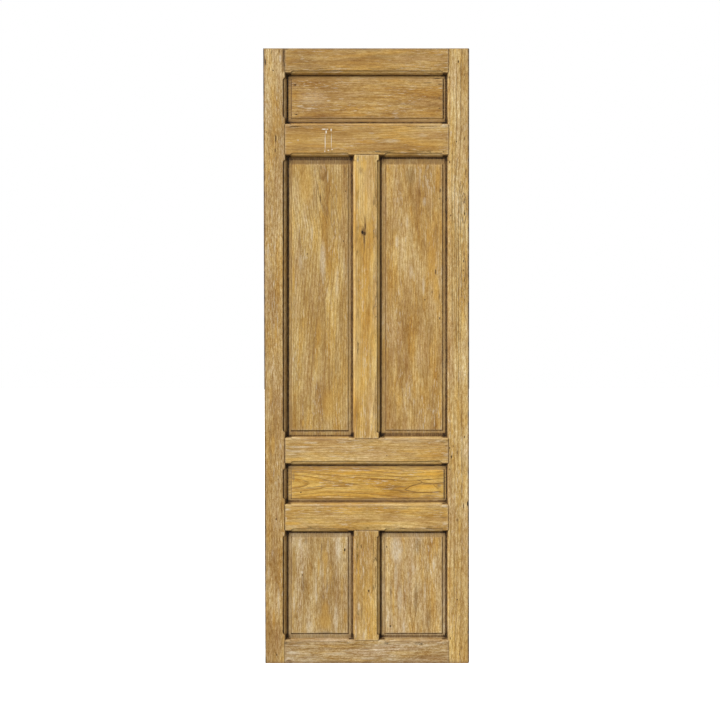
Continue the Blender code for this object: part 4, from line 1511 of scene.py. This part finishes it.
            (321.7, 548, 26, 1.6, 0.6), (327.3, 585, 40, 1.6, 0.5), (326, 632.8, 4, 40, 0.4),
        ],
    },
    "panel_lower_right": {
        "brown": [
            (418, 545, 40, 12, 0.42), (416, 600, 70, 9, 0.42), (428, 620, 40, 8, 0.3),
        ],
        "gold": [
            (437, 545, 40, 7, 0.9), (433, 595, 70, 8, 0.8), (393.5, 600, 70, 4, 0.9),
            (400, 555, 26, 4, 0.7),
        ],
        "lime": [
            (397, 550, 60, 26, 0.85), (434, 565, 30, 5, 0.9), (431, 572, 14, 3, 0.9),
            (425, 592, 40, 5, 0.7), (400, 600, 60, 10, 0.6), (388, 618, 40, 3, 0.8),
            (413.5, 571, 20, 2.4, 0.9), (432, 540, 14, 4, 0.8), (396, 575, 60, 8, 0.6),
            (404, 628, 30, 6, 0.7),
        ],
        "soil": [
            (390.5, 626.5, 5, 3, 1), (387, 547, 5, 2.6, 0.8), (391, 592, 22, 2.6, 0.5),
        ],
    },
}


# Ring lines that stand out, by board: strength, half width in mm, and the photo's pixels along them
STROKES = {
    "panel_lock": [
        (0.72, 1.7, [(441, 482.9), (433.5, 484.0), (422.5, 482.9), (414.4, 484.8), (410, 486.6),
                     (405.0, 489.7), (411.5, 491.5), (418.8, 492.6), (429.9, 492.5), (441, 491.2)]),
        (0.65, 1.5, [(417.4, 480.0), (420.5, 480.7), (422.5, 482.7)]),
        (0.45, 1.6, [(433.5, 484.4), (436.0, 487.0), (438.5, 488.4)]),
        (0.40, 1.6, [(426.0, 494.7), (430.0, 495.4), (434.0, 497.3)]),
        (0.42, 1.5, [(345, 475.2), (366, 475.8), (387, 476.6), (400, 477.0), (413, 476.6)]),
        (0.50, 1.4, [(366, 479.2), (383, 479.4), (396, 479.4), (403, 477.9)]),
        (0.34, 1.5, [(292, 489.0), (320, 488.2), (350, 488.9), (372, 490.0)]),
        (0.30, 1.5, [(300, 475.0), (322, 474.4), (340, 475.2)]),
        (0.34, 1.5, [(318, 483.0), (345, 483.6), (370, 483.4)]),
    ],
    "stile_right": [
        (0.62, 1.5, [(457.6, 158), (456.4, 170), (455.0, 182), (454.5, 200), (455.8, 235), (456.6, 270),
                     (456.8, 310), (456.2, 350)]),
        (0.64, 1.5, [(461.2, 181), (459.6, 188), (458.6, 200), (458.2, 230), (458.4, 270), (458.8, 310),
                     (458.2, 355), (458.8, 400)]),
        (0.66, 1.5, [(463.6, 183), (461.6, 190), (460.3, 200), (460.2, 215), (460.6, 235), (461.4, 262),
                     (461.2, 300), (460.6, 340)]),
        (0.80, 1.5, [(463.4, 193), (462.0, 198), (461.5, 206), (461.9, 216), (463.2, 224)]),
        (0.80, 1.5, [(464.0, 193), (465.6, 198), (466.2, 206), (466.0, 216), (464.6, 224)]),
        (0.85, 1.4, [(464.2, 198), (464.6, 203)]),
        (0.95, 1.4, [(464.5, 210), (464.4, 215.5)]),
        (0.66, 1.5, [(464.8, 257), (465.4, 266), (464.8, 280), (465.6, 290)]),
        (0.52, 1.4, [(452.4, 150), (452.0, 190), (452.6, 230), (452.2, 280), (452.8, 330)]),
        (0.52, 1.4, [(461.0, 60), (460.2, 90), (461.0, 125), (460.6, 150)]),
        (0.52, 1.4, [(456.4, 70), (456.0, 110), (456.8, 145)]),
        (0.52, 1.4, [(455.0, 540), (454.4, 580), (455.2, 620), (454.8, 650)]),
        (0.52, 1.4, [(461.4, 410), (461.0, 440), (461.8, 480), (461.2, 500)]),
    ],
    "panel_upper_left": [
        (0.42, 1.4, [(319.5, 172), (321.5, 190), (327.0, 207), (331.5, 222), (335.0, 236)]),
        (0.46, 1.4, [(317.0, 182), (319.5, 198), (323.5, 212), (327.0, 223)]),
        (0.34, 1.4, [(325.0, 166), (328.0, 182), (333.5, 200), (337.5, 216)]),
        (0.30, 1.3, [(313.0, 186), (315.0, 200), (317.5, 214), (320.0, 230)]),
    ],
}


# How deep a mark reaches, and the half width over which the flecks of lime are softer, in mm
MARK_DEPTH = 16
WIDE_MARK = 3

DUSTY_PANELS = ("panel_lock", "panel_lower_left", "panel_lower_right")


class Grain:
    """The noises of one board's wood, all drawn out along its grain."""

    def __init__(self, n, seed):
        self.place = n.attribute("grain").outputs["Vector"]
        self.broad = n.noise(self.place, (230, 52, 52), 2.0, 0.5, seed + 19)
        self.patch = n.noise(self.place, (190, 32, 32), 3.0, 0.55, seed + 5)
        self.shade = n.noise(self.place, (120, 15, 15), 3.0, 0.6, seed + 6)
        self.streak = n.noise(self.place, (46, 5.2, 5.2), 3.0, 0.65, seed + 3)
        self.fibre = n.noise(self.place, (26, 1.7, 1.7), 3.0, 0.7, seed)
        self.speckle = n.noise(self.place, (17, 3.9, 3.9), 3.0, 0.65, seed + 21)
        self.grit = n.noise(self.place, (4.0, 2.8, 2.8), 2.0, 0.6, seed + 25)
        self.warp = n.noise(self.place, (45, 5, 5), 2.0, 0.5, seed + 7)
        self.pores = n.noise(self.place, (10, 1.6, 1.6), 2.0, 0.6, seed + 9)
        self.lime = n.noise(self.place, (30, 3.6, 3.6), 4.0, 0.7, seed + 13)
        self.lime_patch = n.noise(self.place, (160, 40, 40), 2.0, 0.5, seed + 14)
        self.soil = n.noise(self.place, (16, 3, 3), 3.0, 0.7, seed + 15)
        self.flecks = n.noise(self.place, (11, 3.4, 3.4), 4.0, 0.75, seed + 23)
        wobble = n.noise(self.place, (6, 2.2, 2.2), 2.0, 0.5, seed + 17)
        self.wobbled = n.vector("ADD", self.place, wobble_of(n, wobble))


def growth(n, grain):
    """The dark wood of each growth ring, and the thin line that ends it."""
    bent = n.math("MULTIPLY", n.math("SUBTRACT", grain.warp, 0.5), 0.26)
    phase = n.math("FRACT", n.math("ADD", n.attribute("ring").outputs["Fac"], bent))
    late = n.math("MULTIPLY", n.remap(phase, 0.40, 0.88), n.remap(phase, 0.92, 1.0, 1.0, 0.0))
    late = n.math("MULTIPLY", late, n.remap(grain.shade, 0.3, 0.65, 0.45, 1.0))
    line = n.math("MULTIPLY", n.remap(phase, 0.76, 0.88), n.remap(phase, 0.93, 0.99, 1.0, 0.0))
    line = n.math("MULTIPLY", line, n.remap(grain.streak, 0.40, 0.62, 0.35, 1.0))
    return late, line


def plain_wood(n, grain, name, tint, late, line):
    """The board's colour before wear and dirt."""
    figure, ring_line = FIGURE.get(name, PLAIN_FIGURE)
    rough_wood = WEATHERING[name]
    colour = n.mix(n.remap(grain.patch, 0.45, 0.66, 0.0, 1.0), WOOD[name], tint["gold"])
    colour = n.mix(n.remap(grain.patch, 0.52, 0.34, 0.0, 1.0), colour, tint["grey"])
    colour = n.mix(n.remap(grain.shade, 0.48, 0.68, 0.0, 0.60), colour, tint["light"])
    colour = n.mix(n.remap(grain.shade, 0.52, 0.32, 0.0, 0.55), colour, tint["dark"])
    colour = n.mix(n.math("MULTIPLY", late, figure), colour, tint["late"])
    colour = n.mix(n.math("MULTIPLY", line, ring_line), colour, BROWN)
    colour = n.mix(n.remap(grain.streak, 0.50, 0.70, 0.0, 0.42 * rough_wood), colour, tint["light"])
    return n.mix(n.remap(grain.streak, 0.49, 0.30, 0.0, 0.46 * rough_wood), colour, tint["dark"])


def fine_shade(n, grain, rough_wood):
    """Lightness of the fibres and specks, about one."""
    fine = swing(n, grain.fibre, 0.16 * rough_wood)
    fine = n.math("MULTIPLY", fine, swing(n, grain.speckle, 0.34 * rough_wood))
    fine = n.math("MULTIPLY", fine, swing(n, grain.grit, 0.20 * rough_wood))
    return n.math("MULTIPLY", fine, swing(n, grain.broad, 0.30))


def marks_of(n, grain, name, upright):
    """How strong each kind of mark is at a place on the board's front."""
    flecks = n.remap(grain.flecks, 0.42, 0.62, 0.12, 1.0)
    soft_flecks = n.math("ADD", n.math("MULTIPLY", flecks, 0.7), 0.3)
    found = {}
    for kind, listed in MARKS.get(name, {}).items():
        place = grain.place if kind == "paint" else grain.wobbled
        strongest = 0.0
        for px, py, half_along, half_across, strength in listed:
            along, across = (photo_z(py), photo_x(px)) if upright else (photo_x(px), photo_z(py))
            offset = n.vector("SUBTRACT", place, (along, across, front_of(name)))
            scaled = n.vector("MULTIPLY", offset, (1 / half_along, 1 / half_across, 1 / MARK_DEPTH))
            reach = n.remap(n.vector("LENGTH", scaled), 1.15, 0.35, 0.0, strength)
            if kind == "lime":
                reach = n.math("MULTIPLY", reach, soft_flecks if half_across > WIDE_MARK else flecks)
            strongest = n.math("MAXIMUM", strongest, reach)
        found[kind] = strongest
    return found


def limed(n, grain):
    """Pale lime on worn arrises, which also paints highlights on the lit ones, and in scuffed patches."""
    worn = n.attribute("worn").outputs["Fac"]
    arris = n.math("MULTIPLY", worn, n.remap(grain.lime, 0.34, 0.60))
    patches = n.remap(grain.lime_patch, 0.46, 0.64, 0.12, 0.75)
    return n.math("MAXIMUM", arris, n.math("MULTIPLY", n.remap(grain.lime, 0.54, 0.66), patches))


def add_dirt_and_shade(n, grain, name, colour, marked):
    """Dust where there is little dirt or painted shade, brown where there is more, and nearly black at most.
    """
    soil = n.attribute("soil").outputs["Fac"]
    soiled = n.math("MULTIPLY", soil, n.remap(grain.soil, 0.3, 0.62, 0.72, 1.15))
    dirt = n.math("MAXIMUM", soiled, marked)
    dirt = n.math("MULTIPLY", dirt, 1.0, clamp=True)
    dust = PALE_DUST if name in DUSTY_PANELS else DUST
    colour = n.mix(n.remap(dirt, 0.0, 0.40, 0.0, 0.62, smooth=False), colour, dust)
    colour = n.mix(n.remap(dirt, 0.28, 0.70, 0.0, 0.9), colour, BROWN)
    return n.mix(n.remap(dirt, 0.60, 0.95), colour, DIRT_AND_SHADOW)


def add_golden_finish(n, gold, golden, colour, shade, lime):
    """Where the old finish is left the wood is golden, smoother in tone and less limed."""
    lime = n.math("MULTIPLY", lime, n.math("SUBTRACT", 1.0, n.math("MULTIPLY", gold, 0.7)))
    calmer = n.math("SUBTRACT", 1.0, n.math("MULTIPLY", gold, 0.3))
    uneven = n.math("MULTIPLY", n.math("SUBTRACT", shade, 1.0), calmer)
    return n.mix(n.math("MULTIPLY", gold, 0.95), colour, golden), n.math("ADD", uneven, 1.0), lime


def wood_material(name, upright):
    material = bpy.data.materials.new(name + "_pine")
    material.use_nodes = True
    n = Nodes(material)
    grain = Grain(n, seed_of(name) % 97)
    tint = {}
    for key, factors in TINTS.items():
        tint[key] = tuple(min(0.95, base * factor) for base, factor in zip(WOOD[name], factors))
    late, line = growth(n, grain)
    colour = plain_wood(n, grain, name, tint, late, line)
    shade = fine_shade(n, grain, WEATHERING[name])
    lime = limed(n, grain)
    marks = marks_of(n, grain, name, upright)
    if "gold" in marks:
        colour, shade, lime = add_golden_finish(n, marks["gold"], tint["gold"], colour, shade, lime)
    colour = n.mix(1.0, colour, warm_shade(n, shade), "MULTIPLY")
    if "brown" in marks:
        colour = n.mix(marks["brown"], colour, BROWN)
    for strength, half_width, points in STROKES.get(name, []):
        reach = stroke(n, grain.wobbled, upright, front_of(name), points, half_width)
        colour = n.mix(n.math("MULTIPLY", reach, strength), colour, BROWN)
    colour = n.mix(n.math("MAXIMUM", lime, marks.get("lime", 0.0)), colour, LIME_AND_HIGHLIGHT)
    crack = n.math("MULTIPLY", n.remap(grain.pores, 0.62, 0.74), 0.6)
    colour = n.mix(crack, colour, BROWN)
    colour = add_dirt_and_shade(n, grain, name, colour, marks.get("soil", 0.0))
    if "paint" in marks:
        colour = n.mix(marks["paint"], colour, PAINT)

    shader = n.add("ShaderNodeBsdfPrincipled")
    shader.inputs["Specular IOR Level"].default_value = 0.25
    n.feed(shader.inputs["Base Color"], colour)
    uneven = n.math("ADD", n.math("MULTIPLY", grain.fibre, 0.6), n.math("MULTIPLY", grain.patch, 0.4))
    n.feed(shader.inputs["Roughness"], n.remap(uneven, 0.3, 0.7, 0.55, 0.78))
    n.feed(shader.inputs["Normal"], relief(n, grain, late, crack))
    output = n.add("ShaderNodeOutputMaterial")
    n.feed(output.inputs["Surface"], shader.outputs["BSDF"])
    return material


def relief(n, grain, late, crack):
    """Bump from fibres, proud growth rings, streaks and small cracks."""
    height = n.math("ADD", n.math("MULTIPLY", grain.fibre, 0.5), n.math("MULTIPLY", late, 0.35))
    height = n.math("ADD", height, n.math("MULTIPLY", grain.streak, 0.6))
    height = n.math("SUBTRACT", height, n.math("MULTIPLY", crack, 0.8))
    bump = n.add("ShaderNodeBump")
    bump.inputs["Strength"].default_value = 0.5
    bump.inputs["Distance"].default_value = 0.6 * MM
    n.feed(bump.inputs["Height"], height)
    return bump.outputs["Normal"]


def stroke(n, grain, upright, surface, points, half_width):
    """Nearness to a drawn line on the board's front, from 0 to 1."""
    reach = 0.0
    ends = [(photo_z(y), photo_x(x)) if upright else (photo_x(x), photo_z(y)) for x, y in points]
    for (first_u, first_v), (last_u, last_v) in zip(ends, ends[1:]):
        length = math.hypot(last_u - first_u, last_v - first_v)
        way_u = (last_u - first_u) / length
        way_v = (last_v - first_v) / length
        half = length / 2 + half_width
        centre = ((first_u + last_u) / 2, (first_v + last_v) / 2, 0.0)
        offset = n.vector("SUBTRACT", grain, centre)
        along = n.vector("DOT_PRODUCT", offset, (way_u / half, way_v / half, 0.0))
        across = n.vector("DOT_PRODUCT", offset, (-way_v / half_width, way_u / half_width, 0.0))
        blunt = n.math("POWER", n.math("ABSOLUTE", along), 6.0)
        far = n.math("ADD", blunt, n.math("MULTIPLY", across, across))
        reach = n.math("MAXIMUM", reach, n.remap(far, 1.5, 0.15))
    split = n.add("ShaderNodeSeparateXYZ")
    n.feed(split.inputs[0], grain)
    return n.math("MULTIPLY", reach, n.remap(split.outputs[2], surface + 3, surface + 9, 1.0, 0.0))


def swing(n, noise, amount):
    """A factor that a noise moves about one by this amount."""
    return n.remap(noise, 0.3, 0.7, 1 - amount, 1 + amount, smooth=False)


def warm_shade(n, value):
    """A multiplier whose darks are redder and whose lights are paler."""
    node = n.add("ShaderNodeCombineColor")
    for socket, power in zip(node.inputs[:3], (0.72, 1.06, 1.75)):
        n.feed(socket, n.math("POWER", value, power))
    return node.outputs[0]


def wobble_of(n, value):
    node = n.add("ShaderNodeCombineXYZ")
    n.feed(node.inputs[0], n.math("MULTIPLY", n.math("SUBTRACT", value, 0.5), 5.0))
    n.feed(node.inputs[1], n.math("MULTIPLY", n.math("SUBTRACT", value, 0.5), 1.6))
    return node.outputs[0]


def dress(piece):
    obj = add_mesh(piece)
    obj.data.materials.append(wood_material(piece.name, piece.upright))
    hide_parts(piece.name)
    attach(obj, "root")


def make_door():
    boards = [make_stile("stile_left"), make_stile("stile_right")]
    boards += [make_rail(name) for name in RAILS]
    boards.append(make_muntin("muntin_upper", *UPPER_PAIR))
    boards.append(make_muntin("muntin_lower", *LOWER_PAIR))
    for board in boards:
        board.build()
        dress(board)
    for name in FIELD_MARGINS:
        panel = Panel(name, name not in ("panel_top", "panel_lock"))
        panel.build()
        dress(panel)


def make_stage():
    size = 30.0
    mesh = bpy.data.meshes.new("studio_floor")
    corners = [(-size, -size), (size, -size), (size, size), (-size, size)]
    mesh.from_pydata([(x, y, FOOT_Z) for x, y in corners], [], [(0, 1, 2, 3)])
    floor = bpy.data.objects.new("studio_floor", mesh)
    bpy.context.scene.collection.objects.link(floor)
    material = bpy.data.materials.new("pale_floor")
    material.use_nodes = True
    shader = material.node_tree.nodes["Principled BSDF"]
    shader.inputs["Base Color"].default_value = (0.93, 0.93, 0.93, 1.0)
    shader.inputs["Roughness"].default_value = 0.9
    shader.inputs["Emission Color"].default_value = (1.0, 1.0, 1.0, 1.0)
    shader.inputs["Emission Strength"].default_value = 0.8
    mesh.materials.append(material)
    floor.visible_diffuse = False
    floor.visible_glossy = False


# Where the two suns stand, seen from the leaf, and the camera's place and focal length
KEY_DIRECTION = (-0.593, -0.545, 0.593)
BACK_DIRECTION = (0.30, 0.85, 0.43)
CAMERA_PLACE = (-0.3788, -3.220, -0.0145)
CAMERA_LENS = 46.14


def add_sun(name, energy, degrees, direction):
    data = bpy.data.lights.new(name, "SUN")
    data.energy = energy
    data.angle = math.radians(degrees)
    sun = bpy.data.objects.new(name, data)
    sun.rotation_mode = "QUATERNION"
    sun.rotation_quaternion = Vector(direction).to_track_quat("Z", "Y")
    bpy.context.scene.collection.objects.link(sun)


def make_light():
    """One large soft key from the upper left, and a sky that is dimmer on the other side."""
    add_sun("studio_key", 3.1, 30, KEY_DIRECTION)
    add_sun("studio_back", 1.9, 50, BACK_DIRECTION)
    world = bpy.data.worlds.new("studio_world")
    world.use_nodes = True
    nodes = world.node_tree.nodes
    links = world.node_tree.links
    background = nodes["Background"]
    background.inputs["Color"].default_value = (1.0, 1.0, 1.0, 1.0)
    place = nodes.new("ShaderNodeTexCoord")
    towards_key = nodes.new("ShaderNodeVectorMath")
    towards_key.operation = "DOT_PRODUCT"
    towards_key.inputs[1].default_value = KEY_DIRECTION
    sky = nodes.new("ShaderNodeMapRange")
    sky.inputs["From Min"].default_value = -1.0
    sky.inputs["To Min"].default_value = 0.12
    sky.inputs["To Max"].default_value = 0.62
    path = nodes.new("ShaderNodeLightPath")
    strength = nodes.new("ShaderNodeMix")
    strength.inputs["B"].default_value = 1.0
    links.new(place.outputs["Generated"], towards_key.inputs[0])
    links.new(towards_key.outputs["Value"], sky.inputs["Value"])
    links.new(path.outputs["Is Camera Ray"], strength.inputs["Factor"])
    links.new(sky.outputs["Result"], strength.inputs["A"])
    links.new(strength.outputs["Result"], background.inputs["Strength"])
    bpy.context.scene.world = world
    bpy.context.scene.view_settings.view_transform = "Standard"


def make_camera():
    data = bpy.data.cameras.new("photo_camera")
    data.sensor_width = 36.0
    data.lens = CAMERA_LENS
    camera = bpy.data.objects.new("photo_camera", data)
    camera.location = CAMERA_PLACE
    camera.rotation_euler = (math.radians(90), 0, 0)
    bpy.context.scene.collection.objects.link(camera)
    bpy.context.scene.camera = camera


make_door()
make_stage()
make_light()
make_camera()
